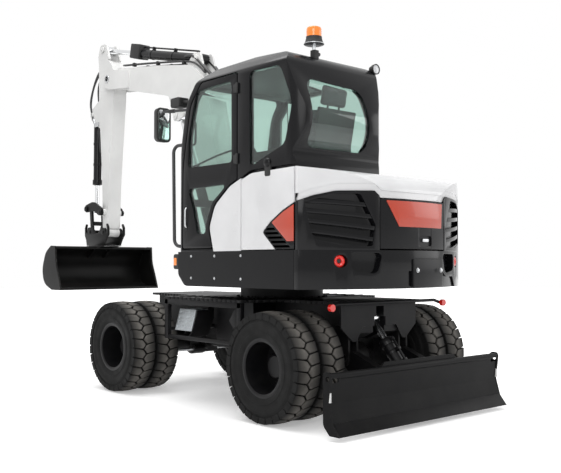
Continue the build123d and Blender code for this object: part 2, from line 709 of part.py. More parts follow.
def steering_column():
    """Steering wheel on its column in front of the seat."""
    made = bar((-150, 420, 1200), (-300, 420, 1930), 32) & cab_form(CAB_WALL)
    ring = Cylinder(170, 22) - Cylinder(148, 24) + Box(310, 34, 12) + Box(34, 310, 12) + Cylinder(36, 40)
    return made + Pos(-302, 420, 1940) * Rot(0, -12, 0) * ring


def beacon():
    """Flashing lamp on a bracket at the roof's rear corner."""
    made = post((-1240, 640), 16, 2700, 2866) + post((-1240, 640), 52, 2862, 2880)
    return made + post((-1240, 640), 40, 2879, 2955) - cab_form(0)


def work_lamps():
    """Lamps on the front pillar, on the roof's rear corner and at the bands' front ends."""
    made = prism("Y", [(60, 2480, 20), (190, 2480, 20), (190, 2560, 20), (60, 2560, 20)], 800, 900)
    made += bar((-120, 850, 2500), (70, 850, 2520), 12)
    made += bar((-1290, 10, 2700), (-1400, 10, 2790), 10)
    made += bar((-1440, 10, 2790), (-1385, 10, 2790), 40)
    for _, side in SIDES:
        low, high = sorted((side * 830, side * (SIDE_Y - 2)))
        made += prism("Y", [(35, 1120), (110, 1120, 20), (110, 1245, 20), (35, 1245)], low, high)
    return made - cab_form(0)


def mirror_piece():
    """Rear-view mirror on its arm from the front pillar."""
    head = prism("X", [(810, 2210, 40), (950, 2210, 40), (950, 2500, 40), (810, 2500, 40)], 320, 360)
    arm = bar((-100, 880, 2430), (330, 880, 2470), 12)
    return head + arm - cab_form(0)


def handrail():
    """Tall grab rail ahead of the door."""
    rail = pipe([(-40, 870, 2150), (130, 905, 2150), (110, 905, 1310), (-40, 870, 1310)], 14, 60)
    return rail - cab_form(0)


# ---- swing post, boom, arm and bucket -----------------------------------
def swing_post():
    """Cast post on the kingpin, carrying the boom foot and its cylinder."""
    made = post((SWING_X, 0), 92, FLOOR_Z + 50, 1195)
    made += post((SWING_X, 0), 35, FLOOR_Z + 2, 1244)
    made += prism("Z", [(SWING_X, -88), (SWING_X + 210, -118), (SWING_X + 210, 118), (SWING_X, 88)], FLOOR_Z + 50, 1195)
    ear = [
        (SWING_X + 112, FLOOR_Z, 30), (BOOM_CYL_FOOT[0] + 20, FLOOR_Z, 40), (BOOM_CYL_FOOT[0] + 60, 1080, 40),
        (BOOM_FOOT[0] + 90, BOOM_FOOT[1] + 60, 50), (BOOM_FOOT[0] - 60, BOOM_FOOT[1] + 80, 60),
        (SWING_X + 80, 1290, 30), (SWING_X + 112, 1255),
    ]
    for _, side in SIDES:
        low, high = sorted((side * 117, side * 150))
        made += prism("Y", ear, low, high)
    made += pin(BOOM_FOOT, 30, -158, 158)
    made += pin(BOOM_CYL_FOOT, 20, -156, 156)
    return made


def boom():
    """Bent box boom with its foot, tip fork and cylinder brackets."""
    side_view = [
        (BOOM_FOOT[0] - 76, BOOM_FOOT[1] + 30), (BOOM_FOOT[0] - 76, BOOM_FOOT[1] - 76, 74),
        (BOOM_FOOT[0] + 76, BOOM_FOOT[1] - 76, 74), (BOOM_FOOT[0] + 98, BOOM_FOOT[1] + 120, 200),
        (1110, 2700, 500), (1420, 2885, 300), (2400, 3110), (2400, 3335), (1530, 3215, 300),
        (1000, 3125, 260), (760, 2940, 300),
    ]
    made = prism("Y", side_view, -108, 108)
    made -= block(2345, 2800, -92, 92, 3000, 3500)
    tip = [(2150, 3080), (2150, 3270), (2540, 3340, 60), (2690, 3330, 80), (2690, 3170, 80), (2540, 3120, 60)]
    for _, side in SIDES:
        low, high = sorted((side * 96, side * 126))
        made += prism("Y", tip, low, high)
    made += pin(BOOM_TIP, 28, -134, 134)
    made -= pin(BOOM_FOOT, 30 + RUN, -120, 120)
    eye = [(1120, 2740), (BOOM_CYL_EYE[0] - 130, BOOM_CYL_EYE[1] - 20, 40), (BOOM_CYL_EYE[0] + 30, BOOM_CYL_EYE[1] - 60, 40), (1430, 2900)]
    foot = [(800, 2980), (ARM_CYL_FOOT[0] - 60, ARM_CYL_FOOT[1] + 50, 40), (ARM_CYL_FOOT[0] + 60, ARM_CYL_FOOT[1] + 50, 40), (1100, 3150)]
    for _, side in SIDES:
        low, high = sorted((side * 62, side * 82))
        made += prism("Y", foot, low, high)
        low, high = sorted((side * 62, side * 82))
        made += prism("Y", eye, low, high)
        low, high = sorted((side * 60, side * 90))
        made += pin(BOOM_CYL_EYE, 26, low, high)
    made += pin(ARM_CYL_FOOT, 20, -88, 88)
    return made


def arm():
    """Tapered box arm with the cylinder ears, bucket end and rocker boss."""
    side_view = [
        (2652, 1545, 30), (2748, 1560, 40), (2772, 2160, 900), (2856, 3030, 900), (2862, 3400, 200), (2850, 3560),
        (2690, 3520), (2572, 3410, 60), (2520, 3290, 60), (2532, 3010, 300), (2620, 2150, 900),
    ]
    made = prism("Y", side_view, -82, 82)
    made += pin(BUCKET_PIN, 50, -82, 82)
    made += pin(ROCKER_PIN, 40, -112, 112)
    made += pin(BOOM_TIP, 70, -90, 90)
    ear = [(2860, 3400), (2880, 3560, 60), (2830, 3680, 50), (2700, 3680, 50), (2640, 3500)]
    foot = [(2800, 2700), (BUCKET_CYL_FOOT[0] + 20, BUCKET_CYL_FOOT[1] - 60, 40), (BUCKET_CYL_FOOT[0] + 45, BUCKET_CYL_FOOT[1] + 45, 40), (2840, 3060)]
    for _, side in SIDES:
        low, high = sorted((side * 56, side * 82))
        made += prism("Y", ear, low, high)
        low, high = sorted((side * 58, side * 76))
        made += prism("Y", foot, low, high)
        low, high = sorted((side * 54, side * 92))
        made += pin(ARM_ROD_PIN, 24, low, high)
    made += pin(BUCKET_CYL_FOOT, 20, -82, 82)
    made -= block(2560, 3000, -54, 54, 3470, 3800)
    made -= pin(BOOM_TIP, 28 + RUN, -120, 120)
    made -= pin(BUCKET_PIN, 24 + RUN, -120, 120)
    return made - pin(ROCKER_PIN, 20 + RUN, -120, 120)


def rocker():
    """Pair of bowed rocker plates on the arm, joined by their pins."""
    bow = [
        (ROCKER_PIN[0] - 35, ROCKER_PIN[1] - 35, 30), (ROCKER_PIN[0] + 45, ROCKER_PIN[1] - 30, 30),
        (2860, 1770, 120), (ROCKER_TIP[0] + 40, ROCKER_TIP[1] - 42, 40), (ROCKER_TIP[0] + 42, ROCKER_TIP[1] + 40, 40),
        (2880, 1880, 150), (ROCKER_PIN[0] - 30, ROCKER_PIN[1] + 45, 40),
    ]
    made = pin(ROCKER_PIN, 20, -119, 119)
    for _, side in SIDES:
        low, high = sorted((side * 118, side * 136))
        made += prism("Y", bow, low, high)
        for place in (ROCKER_PIN, ROCKER_TIP):
            made += pin(place, 26, *sorted((side * 118, side * 146)))
    return made


def link():
    """H-shaped link from the rocker down to the coupler."""
    made = Part()
    angle = angle_of(ROCKER_TIP, LINK_PIN)
    length = hypot(LINK_PIN[0] - ROCKER_TIP[0], LINK_PIN[1] - ROCKER_TIP[1])
    for _, side in SIDES:
        low, high = sorted((side * 60, side * 84))
        made += pin((0, 0), 28, low, high) + pin((length, 0), 28, low, high)
        made += pin((0, 0), 20, *sorted((side * 80, side * 115)))
        made += block(0, length, low, high, -24, 24)
    made += block(length * 0.55, length * 0.72, -61, 61, -12, 12)
    made -= pin((length, 0), 20 + RUN, -120, 120)
    return Pos(ROCKER_TIP[0], 0, ROCKER_TIP[1]) * Rot(0, -angle, 0) * made


def coupler():
    """Quick coupler with hooked plates over both bucket pins."""
    plate_view = [
        (BUCKET_PIN[0] - 30, 1372), (LINK_PIN[0] + 70, 1372), (LINK_PIN[0] + 82, 1470, 30),
        (LINK_PIN[0] + 56, 1588, 40), (LINK_PIN[0] - 56, 1588, 40), (2850, 1480, 60),
        (BUCKET_PIN[0] + 52, 1572, 50), (BUCKET_PIN[0] - 52, 1572, 50), (BUCKET_PIN[0] - 62, 1450, 30),
    ]
    made = Part()
    for _, side in SIDES:
        low, high = sorted((side * 88, side * 112))
        made += prism("Y", plate_view, low, high)
    made += pin(LINK_PIN, 20, -118, 118)
    made += pin(BUCKET_PIN, 24, -118, 118)
    made += prism("Y", [(2700, 1372), (3060, 1372), (3060, 1392), (2700, 1392)], -88, 88)
    return made


def bucket():
    """Wide ditching bucket: curved shell, end plates and cutting edge."""
    outer = [
        (2828, 1358), (2925, 1362, 40), (3050, 1290, 160), (3128, 1110, 180), (3090, 955, 150),
        (2900, 880, 60), (2688, 880), (2688, 898), (2900, 898, 60), (3070, 968, 135), (3108, 1110, 165), (3034, 1278, 145),
        (2920, 1344, 30), (2828, 1340),
    ]
    end = [
        (2828, 1362), (2925, 1366, 40), (3054, 1292, 160), (3132, 1110, 180), (3092, 951, 150),
        (2900, 876, 60), (2688, 876), (2740, 1010, 300), (2815, 1180, 300),
    ]
    made = prism("Y", outer, -BUCKET_HALF + 8, BUCKET_HALF - 8)
    for _, side in SIDES:
        low, high = sorted((side * (BUCKET_HALF - 14), side * BUCKET_HALF))
        made += prism("Y", end, low, high)
    made += pin((2835, 1345), 16, -BUCKET_HALF + 8, BUCKET_HALF - 8)
    for _, side in SIDES:
        low, high = sorted((side * 88, side * 112))
        made += prism("Y", [(2650, 1371), (2850, 1345), (2920, 1300), (3040, 1230), (3070, 1371)], low, high)
    return made


def nodes():
    """Every node of the machine, by name, from the middle of the wheelbase."""
    made = {
        "chassis_frame": chassis_frame(),
        "deck": deck(),
        "slew_seat": slew_seat(),
        "front_axle": front_axle(),
        "rear_axle": rear_axle(),
        "drive_line": drive_line(),
        "lamp_bar": lamp_bar(),
        "rear_lamps": rear_lamps(),
        "side_frames": side_frame(1) + side_frame(-1),
        "step_treads": step_tread(1) + step_tread(-1),
        "belly_boxes": belly_box(1) + belly_box(-1),
        "skirts": skirt(1) + skirt(-1),
        "steering_rod": steering_rod(),
        "blade": blade(),
        "upper_frame": upper_frame(),
        "counterweight": counterweight(),
        "right_cover": right_cover(),
        "engine_block": engine_block(),
        "side_panel": side_panel(),
        "seat": seat(),
        "console": console(),
        "beacon": beacon(),
        "work_lamps": work_lamps(),
        "mirror": mirror_piece(),
        "handrail": handrail(),
        "swing_post": swing_post(),
        "boom": boom(),
        "arm": arm(),
        "rocker": rocker(),
        "link": link(),
        "coupler": coupler(),
        "bucket": bucket(),
    }
    for name, side in SIDES:
        made["knuckle_" + name] = knuckle(side)
        for end, x in (("front", FRONT_X), ("rear", REAR_X)):
            made[f"tyres_{end}_{name}"] = twin_tyres(side, x)
            made[f"rims_{end}_{name}"] = twin_rim(side, x)
    made.update(tail_pieces())
    made.update(side_door())
    made.update(cab_pieces())
    # name: foot, eye, barrel and rod radius, barrel's end, bore and rod tail, half eye
    rams = {
        "boom": (BOOM_CYL_FOOT, BOOM_CYL_EYE, 55, 32, 1160, (75, 480), 44),
        "arm": (ARM_CYL_FOOT, ARM_ROD_PIN, 50, 28, 1300, (75, 570), 42),
        "bucket": (BUCKET_CYL_FOOT, ROCKER_TIP, 46, 26, 812, (70, 290), 40),
        "blade": (BLADE_CYL_FOOT, BLADE_CYL_EYE, 46, 26, 420, (70, 240), 38),
    }
    for name, values in rams.items():
        barrel, rod = cylinder(*values)
        made[name + "_barrel"] = barrel
        made[name + "_rod"] = rod
    return made


def main():
    """Write one STEP file per node, moved to the model's origin."""
    os.makedirs("parts", exist_ok=True)
    for name, shape in nodes().items():
        export_step(Pos(-ORIGIN_X, 0, 0) * shape, "parts/" + name + ".step")


if __name__ == "__main__":
    main()
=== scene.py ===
"""Wheeled excavator: finishes, fine pieces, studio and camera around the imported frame."""
import json
import logging
import math
import time
from contextlib import contextmanager
from dataclasses import dataclass, field
from enum import Enum
from typing import Callable, Iterator, Sequence

import bpy
from mathutils import Matrix, Vector

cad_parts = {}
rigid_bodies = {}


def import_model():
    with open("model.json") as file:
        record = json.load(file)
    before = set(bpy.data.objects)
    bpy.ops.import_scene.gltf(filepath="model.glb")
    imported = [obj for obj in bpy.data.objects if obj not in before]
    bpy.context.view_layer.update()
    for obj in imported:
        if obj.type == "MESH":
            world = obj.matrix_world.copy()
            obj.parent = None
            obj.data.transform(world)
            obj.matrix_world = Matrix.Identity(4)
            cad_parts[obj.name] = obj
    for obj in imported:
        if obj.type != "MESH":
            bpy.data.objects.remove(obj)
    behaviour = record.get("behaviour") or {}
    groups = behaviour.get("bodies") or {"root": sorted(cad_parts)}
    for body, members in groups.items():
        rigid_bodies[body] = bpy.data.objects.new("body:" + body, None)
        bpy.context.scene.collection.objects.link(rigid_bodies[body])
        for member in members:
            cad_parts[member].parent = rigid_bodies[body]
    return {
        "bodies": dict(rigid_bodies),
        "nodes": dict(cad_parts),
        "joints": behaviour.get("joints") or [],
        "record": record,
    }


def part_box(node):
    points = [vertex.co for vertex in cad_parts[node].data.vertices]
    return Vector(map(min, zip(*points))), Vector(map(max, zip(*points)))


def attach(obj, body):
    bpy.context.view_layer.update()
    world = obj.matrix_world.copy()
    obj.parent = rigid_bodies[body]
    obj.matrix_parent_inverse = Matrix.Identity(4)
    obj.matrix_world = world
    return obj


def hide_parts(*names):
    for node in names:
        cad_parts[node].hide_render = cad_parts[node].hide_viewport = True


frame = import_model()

LOG = logging.getLogger("excavator")
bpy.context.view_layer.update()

Corner = tuple[float, float]
Colour = tuple[float, float, float]
Limits = tuple[tuple[float, float, float], tuple[float, float, float]]
Socket = bpy.types.NodeSocket
Tree = bpy.types.NodeTree
Sockets = dict[str, Socket]
Piece = bpy.types.Object
Test = Callable[[bpy.types.MeshPolygon], bool]


# ---- names and places ---------------------------------------------------
class Side(Enum):
    """Side of the machine, with the sign of Y there."""

    LEFT = 1
    RIGHT = -1

    @property
    def word(self) -> str:
        """Lower-case name, as in node and body names."""
        return self.name.lower()


class Axis(Enum):
    """Axis that a flat outline is swept along."""

    X = 0
    Y = 1
    Z = 2

    def point(self, u: float, v: float, depth: float) -> Vector:
        """Point of an outline whose corners (u, v) lie across this axis.

        Args:
            u: First coordinate of the corner.
            v: Second coordinate of the corner.
            depth: Place along this axis.

        Returns:
            The point in the frame.
        """
        order = {Axis.X: (depth, u, v), Axis.Y: (u, depth, v), Axis.Z: (u, v, depth)}
        return Vector(order[self])

    @property
    def direction(self) -> Vector:
        """Unit vector along this axis."""
        return Vector([float(self.value == i) for i in range(3)])


@dataclass(frozen=True)
class Span:
    """Box of a CAD node."""

    low: Vector
    high: Vector

    @property
    def mid(self) -> Vector:
        """Middle of the box."""
        return (self.low + self.high) / 2


def mirrored(side: Side, near: float, far: float) -> Corner:
    """Limits in Y of a stretch between two distances from the middle, on one side."""
    low, high = sorted((side.value * near, side.value * far))
    return low, high


def span(node: str) -> Span:
    """Box of a CAD node by its name."""
    return Span(*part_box(node))


AXLE_MID = (span("rims_front_left").mid.x + span("rims_rear_left").mid.x) / 2
GROUND = 0.0


def at(x: float, y: float, z: float) -> Vector:
    """Point given from the middle of the wheelbase on the ground."""
    return Vector((AXLE_MID + x, y, z))


def turned(direction: Sequence[float], forward: str = "Z", up: str = "Y") -> Matrix:
    """Turn that makes one axis look along a direction."""
    return Vector(direction).to_track_quat(forward, up).to_matrix().to_4x4()


# ---- modelling by operators ---------------------------------------------
MERGE_DISTANCE = 1e-5
CUT_MERGE_DISTANCE = 2e-5
SMOOTH_ANGLE = math.radians(35)
TUBE_SMOOTH_ANGLE = math.radians(40)
WASHER_THICKNESS = 0.003
WASHER_RATIO = 1.35


def take(obj: Piece | None = None) -> None:
    """Go to object mode with one object selected, or none."""
    if bpy.context.mode != "OBJECT":
        bpy.ops.object.mode_set(mode="OBJECT")
    bpy.ops.object.select_all(action="DESELECT")
    if obj is not None:
        obj.select_set(True)
        bpy.context.view_layer.objects.active = obj


def everything(_: bpy.types.MeshPolygon) -> bool:
    """Test that every face passes."""
    return True


@contextmanager
def editing(obj: Piece, test: Test = everything) -> Iterator[None]:
    """Edit mode with the faces that pass a test selected.

    Args:
        obj: Mesh object to edit.
        test: Says of a face whether it is selected.
    """
    take(obj)
    for part in (obj.data.vertices, obj.data.edges):
        part.foreach_set("select", [False] * len(part))
    obj.data.polygons.foreach_set("select", [test(face) for face in obj.data.polygons])
    bpy.context.tool_settings.mesh_select_mode = (False, False, True)
    bpy.ops.object.mode_set(mode="EDIT")
    yield
    bpy.ops.object.mode_set(mode="OBJECT")


def freeze(obj: Piece) -> Piece:
    """Move the object's own place, turn and scale into its mesh."""
    take(obj)
    bpy.ops.object.transform_apply(location=True, rotation=True, scale=True)
    return obj


def outward(obj: Piece) -> Piece:
    """Merge doubled points and turn all faces outwards."""
    with editing(obj):
        bpy.ops.mesh.remove_doubles(threshold=MERGE_DISTANCE)
        bpy.ops.mesh.normals_make_consistent(inside=False)
    return obj


def apply_all(obj: Piece) -> Piece:
    """Apply the object's modifiers in order."""
    take(obj)
    for name in [modifier.name for modifier in obj.modifiers]:
        bpy.ops.object.modifier_apply(modifier=name)
    return obj


def bevelled(obj: Piece, width: float, segments: int = 2, angle: float = 30.0) -> Piece:
    """Round the edges that are sharper than an angle.

    Args:
        obj: Mesh object.
        width: Width of the rounding.
        segments: Faces across the rounding.
        angle: Smallest angle, in degrees, that is rounded.

    Returns:
        The same object.
    """
    modifier = obj.modifiers.new("Bevel", "BEVEL")
    modifier.width = width
    modifier.segments = segments
    modifier.limit_method = "ANGLE"
    modifier.angle_limit = math.radians(angle)
    modifier.use_clamp_overlap = True
    apply_all(obj)
    bpy.ops.object.shade_smooth_by_angle(angle=SMOOTH_ANGLE)
    return obj


def box(name: str, low: Vector, high: Vector, edge: float = 0.003) -> Piece:
    """Box between two corners with rounded edges."""
    take()
    bpy.ops.mesh.primitive_cube_add(size=1, location=(Vector(low) + Vector(high)) / 2)
    obj = bpy.context.object
    obj.name = name
    obj.scale = Vector(high) - Vector(low)
    freeze(obj)
    return bevelled(obj, edge) if edge else obj


def plate(
    name: str, corners: Sequence[Corner], axis: Axis, low: float, high: float, edge: float = 0.002
) -> Piece:
    """Outline of any number of corners, extruded along one axis.

    Args:
        name: Name of the piece.
        corners: Corners (u, v) of the outline, across the axis.
        axis: Axis that the outline is swept along.
        low: Where the sweep starts.
        high: Where it ends.
        edge: Rounding of the edges, or 0.

    Returns:
        The new object.
    """
    take()
    bpy.ops.mesh.primitive_circle_add(vertices=len(corners), fill_type="NGON")
    obj = bpy.context.object
    obj.name = name
    for vertex, (u, v) in zip(obj.data.vertices, corners):
        vertex.co = axis.point(u, v, low)
    with editing(obj):
        step = axis.direction * (high - low)
        bpy.ops.mesh.extrude_region_move(TRANSFORM_OT_translate={"value": step})
    outward(obj)
    return bevelled(obj, edge) if edge else obj


def rod(
    name: str, start: Vector, end: Vector, radius: float, sides: int = 24, edge: float = 0.0015
) -> Piece:
    """Round bar between two points, its rims rounded."""
    take()
    start, end = Vector(start), Vector(end)
    line = end - start
    bpy.ops.mesh.primitive_cylinder_add(vertices=sides, radius=radius, depth=line.length)
    obj = bpy.context.object
    obj.name = name
    obj.data.transform(Matrix.Translation((start + end) / 2) @ turned(line))
    return bevelled(obj, edge, angle=50) if edge else obj


def lathe(
    name: str, section: Sequence[Corner], steps: int = 64, centre: Vector = Vector()
) -> Piece:
    """Closed section (y, radius) spun about a line along Y.

    Args:
        name: Name of the piece.
        section: Corners of the section, in order.
        steps: Steps of the spin.
        centre: Point on the line.

    Returns:
        The new object.
    """
    take()
    bpy.ops.mesh.primitive_circle_add(vertices=len(section), fill_type="NOTHING")
    obj = bpy.context.object
    obj.name = name
    for vertex, (y, radius) in zip(obj.data.vertices, section):
        vertex.co = (radius, y, 0.0)
    take(obj)
    bpy.ops.object.mode_set(mode="EDIT")
    bpy.ops.mesh.select_all(action="SELECT")
    bpy.ops.mesh.spin(steps=steps, angle=math.tau, center=(0, 0, 0), axis=(0, 1, 0))
    bpy.ops.object.mode_set(mode="OBJECT")
    outward(obj)
    obj.data.transform(Matrix.Translation(centre))
    bpy.ops.object.shade_smooth_by_angle(angle=SMOOTH_ANGLE)
    return obj


def tube(
    name: str, points: Sequence[Vector], radius: float, order: int = 3, sides: int = 4
) -> Piece:
    """Smooth tube through a short route, made a mesh.

    Args:
        name: Name of the piece.
        points: Control points of the route.
        radius: Radius of the tube.
        order: Order of the curve, 3 for a smooth one.
        sides: Resolution of the tube's section.

    Returns:
        The new mesh object.
    """
    curve = bpy.data.curves.new(name, "CURVE")
    curve.dimensions = "3D"
    curve.bevel_depth = radius
    curve.bevel_resolution = sides
    curve.resolution_u = 8
    curve.use_fill_caps = True
    spline = curve.splines.new("NURBS")
    spline.points.add(len(points) - 1)
    for point, place in zip(spline.points, points):
        point.co = (*place, 1.0)
    spline.order_u = order
    spline.use_endpoint_u = True
    obj = bpy.data.objects.new(name, curve)
    bpy.context.collection.objects.link(obj)
    take(obj)
    bpy.ops.object.convert(target="MESH")
    obj = bpy.context.object
    outward(obj)
    bpy.ops.object.shade_smooth_by_angle(angle=TUBE_SMOOTH_ANGLE)
    return obj


def copied(obj: Piece, move: Matrix) -> Piece:
    """Copy of a piece with its own mesh, moved."""
    twin = obj.copy()
    twin.data = obj.data.copy()
    twin.data.transform(move)
    if move.determinant() < 0:
        twin.data.flip_normals()
    bpy.context.collection.objects.link(twin)
    return twin


def joined(name: str, pieces: Sequence[Piece]) -> Piece:
    """One object made of several."""
    take(pieces[0])
    for piece in pieces:
        piece.select_set(True)
    if len(pieces) > 1:
        bpy.ops.object.join()
    obj = bpy.context.object
    obj.name = name
    obj.data.name = name
    return obj


def spread(name: str, unit: Piece, moves: Sequence[Matrix]) -> Piece:
    """Copies of one modelled unit at several places, joined; the unit itself is removed."""
    pieces = [copied(unit, move) for move in moves]
    bpy.data.objects.remove(unit)
    return joined(name, pieces)


def facing(direction: Vector, place: Vector) -> Matrix:
    """Turn of +Z to a direction, moved to a place."""
    return Matrix.Translation(place) @ turned(direction)


def standing(piece: Piece, direction: Vector, place: Vector) -> Piece:
    """Piece spun about Y, turned so that its +Y looks along a direction, and moved."""
    piece.data.transform(Matrix.Translation(place) @ turned(direction, "Y", "Z"))
    return piece


# ---- outlines and cutting -----------------------------------------------
# Outlines are (u, v) or (u, v, radius) corners in millimetres, with X from
# the middle of the wheelbase; slab() takes them to the frame's metres
Rounded = Sequence[tuple[float, ...]]
MM = 0.001


def shrunk(corners: Rounded, amount: float) -> list[tuple[float, float, float]]:
    """Outline moved inwards all round, its roundings kept parallel.

    Args:
        corners: Corners of the outline.
        amount: Distance inwards.

    Returns:
        The new corners, each with a radius.
    """
    ahead_of = [*corners[1:], corners[0]]
    turn = 1 if sum(a[0] * b[1] - b[0] * a[1] for a, b in zip(corners, ahead_of)) > 0 else -1
    made = []
    for i, corner in enumerate(corners):
        here = Vector(corner[:2])
        back = (here - Vector(corners[i - 1][:2])).normalized()
        ahead = (Vector(ahead_of[i][:2]) - here).normalized()
        first, second = Vector((-back.y, back.x)) * turn, Vector((-ahead.y, ahead.x)) * turn
        place = here + (first + second) * (amount / (1 + first.dot(second)))
        radius = corner[2] if len(corner) > 2 else 0.0
        if radius:
            bend = (back.x * ahead.y - back.y * ahead.x) * turn
            radius = max(radius - math.copysign(amount, bend), 1.0)
        made.append((place.x, place.y, radius))
    return made


def rounded(corners: Rounded, steps: int = 7) -> list[Corner]:
    """Points of an outline with its corners rounded.

    Args:
        corners: Corners of the outline; one with no radius stays sharp.
        steps: Steps over a quarter turn.

    Returns:
        The points in order.
    """
    made: list[Corner] = []
    for i, corner in enumerate(corners):
        here = Vector(corner[:2])
        back = Vector(corners[i - 1][:2]) - here
        ahead = Vector(corners[(i + 1) % len(corners)][:2]) - here
        half = back.angle(ahead) / 2
        radius = corner[2] if len(corner) > 2 else 0.0
        if radius <= 0 or half > math.radians(89.5):
            made.append((here.x, here.y))
            continue
        reach = min(radius / math.tan(half), 0.98 * back.length, 0.98 * ahead.length)
        radius = reach * math.tan(half)
        inward = (back.normalized() + ahead.normalized()).normalized()
        middle = here + inward * (radius / math.sin(half))
        start = here + back.normalized() * reach - middle
        end = here + ahead.normalized() * reach - middle
        first, last = math.atan2(start.y, start.x), math.atan2(end.y, end.x)
        sweep = (last - first + math.pi) % math.tau - math.pi
        count = max(
            2, math.ceil(steps * abs(sweep) / (math.pi / 2)), math.ceil(radius * abs(sweep) / 60)
        )
        for k in range(count + 1):
            turn = first + sweep * k / count
            made.append((middle.x + radius * math.cos(turn), middle.y + radius * math.sin(turn)))
    return made


def slab(
    name: str, corners: Rounded, axis: Axis, low: float, high: float, edge: float = 0.0
) -> Piece:
    """Rounded outline swept along one axis, all in millimetres.

    Args:
        name: Name of the piece.
        corners: Corners of the outline, across the axis.
        axis: Axis that the outline is swept along.
        low: Where the sweep starts.
        high: Where it ends.
        edge: Rounding of the edges in metres, or 0.

    Returns:
        The new object.
    """
    points = [(u * MM, v * MM) for u, v in rounded(corners)]
    if axis is Axis.X:
        return plate(name, points, axis, AXLE_MID + low * MM, AXLE_MID + high * MM, edge)
    return plate(name, [(AXLE_MID + u, v) for u, v in points], axis, low * MM, high * MM, edge)


def brick(name: str, x: Corner, y: Corner, z: Corner, edge: float = 0.0) -> Piece:
    """Box between limits in millimetres."""
    low, high = at(x[0] * MM, y[0] * MM, z[0] * MM), at(x[1] * MM, y[1] * MM, z[1] * MM)
    return box(name, low, high, edge)


def stick(
    name: str, start: Sequence[float], end: Sequence[float], radius: float, sides: int = 24,
    edge: float = 0.0
) -> Piece:
    """Round bar between two points, in millimetres."""
    first, last = (at(*(value * MM for value in point)) for point in (start, end))
    return rod(name, first, last, radius * MM, sides, edge)


def combined(obj: Piece, others: Sequence[Piece], operation: str) -> Piece:
    """Solid cut by or kept inside others, which are used up.

    Args:
        obj: The solid that stays.
        others: The solids that it meets.
        operation: DIFFERENCE or INTERSECT.

    Returns:
        The same object.
    """
    for other in others:
        modifier = obj.modifiers.new("Boolean", "BOOLEAN")
        modifier.operation = operation
        modifier.solver = "EXACT"
        modifier.object = other
    apply_all(obj)
    for other in others:
        bpy.data.objects.remove(other)
    return obj


def carved(obj: Piece, *others: Piece) -> Piece:
    """Solid less the others."""
    return combined(obj, others, "DIFFERENCE")


def common(obj: Piece, *others: Piece) -> Piece:
    """What the solid shares with each of the others."""
    return combined(obj, others, "INTERSECT")


def eased(obj: Piece, width: float, segments: int = 2, angle: float = 32.0) -> Piece:
    """Merge doubled points after cutting, round the sharp edges and shade the rest smooth."""
    with editing(obj):
        bpy.ops.mesh.remove_doubles(threshold=CUT_MERGE_DISTANCE)
        bpy.ops.mesh.dissolve_degenerate(threshold=CUT_MERGE_DISTANCE)
    return bevelled(obj, width, segments, angle)


def hex_bolt(radius: float = 0.011, head: float = 0.008) -> Piece:
    """Hexagon bolt head on its washer, standing on the origin along +Z."""
    take()
    middle = (0, 0, head / 2 + 0.002)
    bpy.ops.mesh.primitive_cylinder_add(vertices=6, radius=radius, depth=head, location=middle)
    bolt = bevelled(freeze(bpy.context.object), radius * 0.12, 1)
    take()
    bpy.ops.mesh.primitive_cylinder_add(
        vertices=16, radius=radius * WASHER_RATIO, depth=WASHER_THICKNESS,
        location=(0, 0, WASHER_THICKNESS / 2)
    )
    return joined("bolt", [bolt, freeze(bpy.context.object)])


def dress(
    obj: Piece, body: str, finish: "Finish", replaced: Sequence[str] = (), name: str = ""
) -> Piece:
    """Give a finished piece its material, its body and what it stands for.

    Args:
        obj: The piece, in place.
        body: CAD body that it rides on.
        finish: Finish of the whole piece.
        replaced: CAD nodes that it is shown instead of.
        name: New name of the piece, if it has none of its own.

    Returns:
        The same piece.
    """
    obj.name = name or obj.name
    obj.data.materials.clear()
    obj.data.materials.append(finish.material)
    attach(obj, body)
    if replaced:
        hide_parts(*replaced)
    LOG.info("%s: %d faces on %s", obj.name, len(obj.data.polygons), body)
    return obj


# ---- shader nodes -------------------------------------------------------
def node(
    tree: Tree, kind: str, props: dict | None = None, feeds: dict | None = None
) -> bpy.types.Node:
    """New node with its settings, and its inputs set or linked.

    Args:
        tree: Tree that gets the node.
        kind: Blender's name of the node, without ShaderNode.
        props: Settings by name.
        feeds: Inputs by name or number: a socket to link or a value.

    Returns:
        The node.
    """
    made = tree.nodes.new("ShaderNode" + kind)
    for key, value in (props or {}).items():
        setattr(made, key, value)
    for key, value in (feeds or {}).items():
        if isinstance(value, bpy.types.NodeSocket):
            tree.links.new(value, made.inputs[key])
        else:
            made.inputs[key].default_value = value
    return made


def calc(tree: Tree, operation: str, first: Socket | float, second: Socket | float = 0.0) -> Socket:
    """Result of a Math node with two inputs."""
    return node(tree, "Math", {"operation": operation}, {0: first, 1: second}).outputs[0]


def ramp(
    tree: Tree, value: Socket, low: float, high: float, out_low: float = 0.0, out_high: float = 1.0
) -> Socket:
    """Value taken from one range to another and held at its ends."""
    feeds = {
        "Value": value, "From Min": low, "From Max": high, "To Min": out_low, "To Max": out_high
    }
    return node(tree, "MapRange", {"clamp": True}, feeds).outputs["Result"]


def blend_colours(
    tree: Tree, mask: Socket | float, first: Socket | Colour, second: Socket | Colour
) -> Socket:
    """Mix of two colours by a mask."""
    colours = [
        value if isinstance(value, bpy.types.NodeSocket) else (*value, 1.0)
        for value in (first, second)
    ]
    made = node(tree, "Mix", {"data_type": "RGBA"}, {0: mask, 6: colours[0], 7: colours[1]})
    return made.outputs[2]


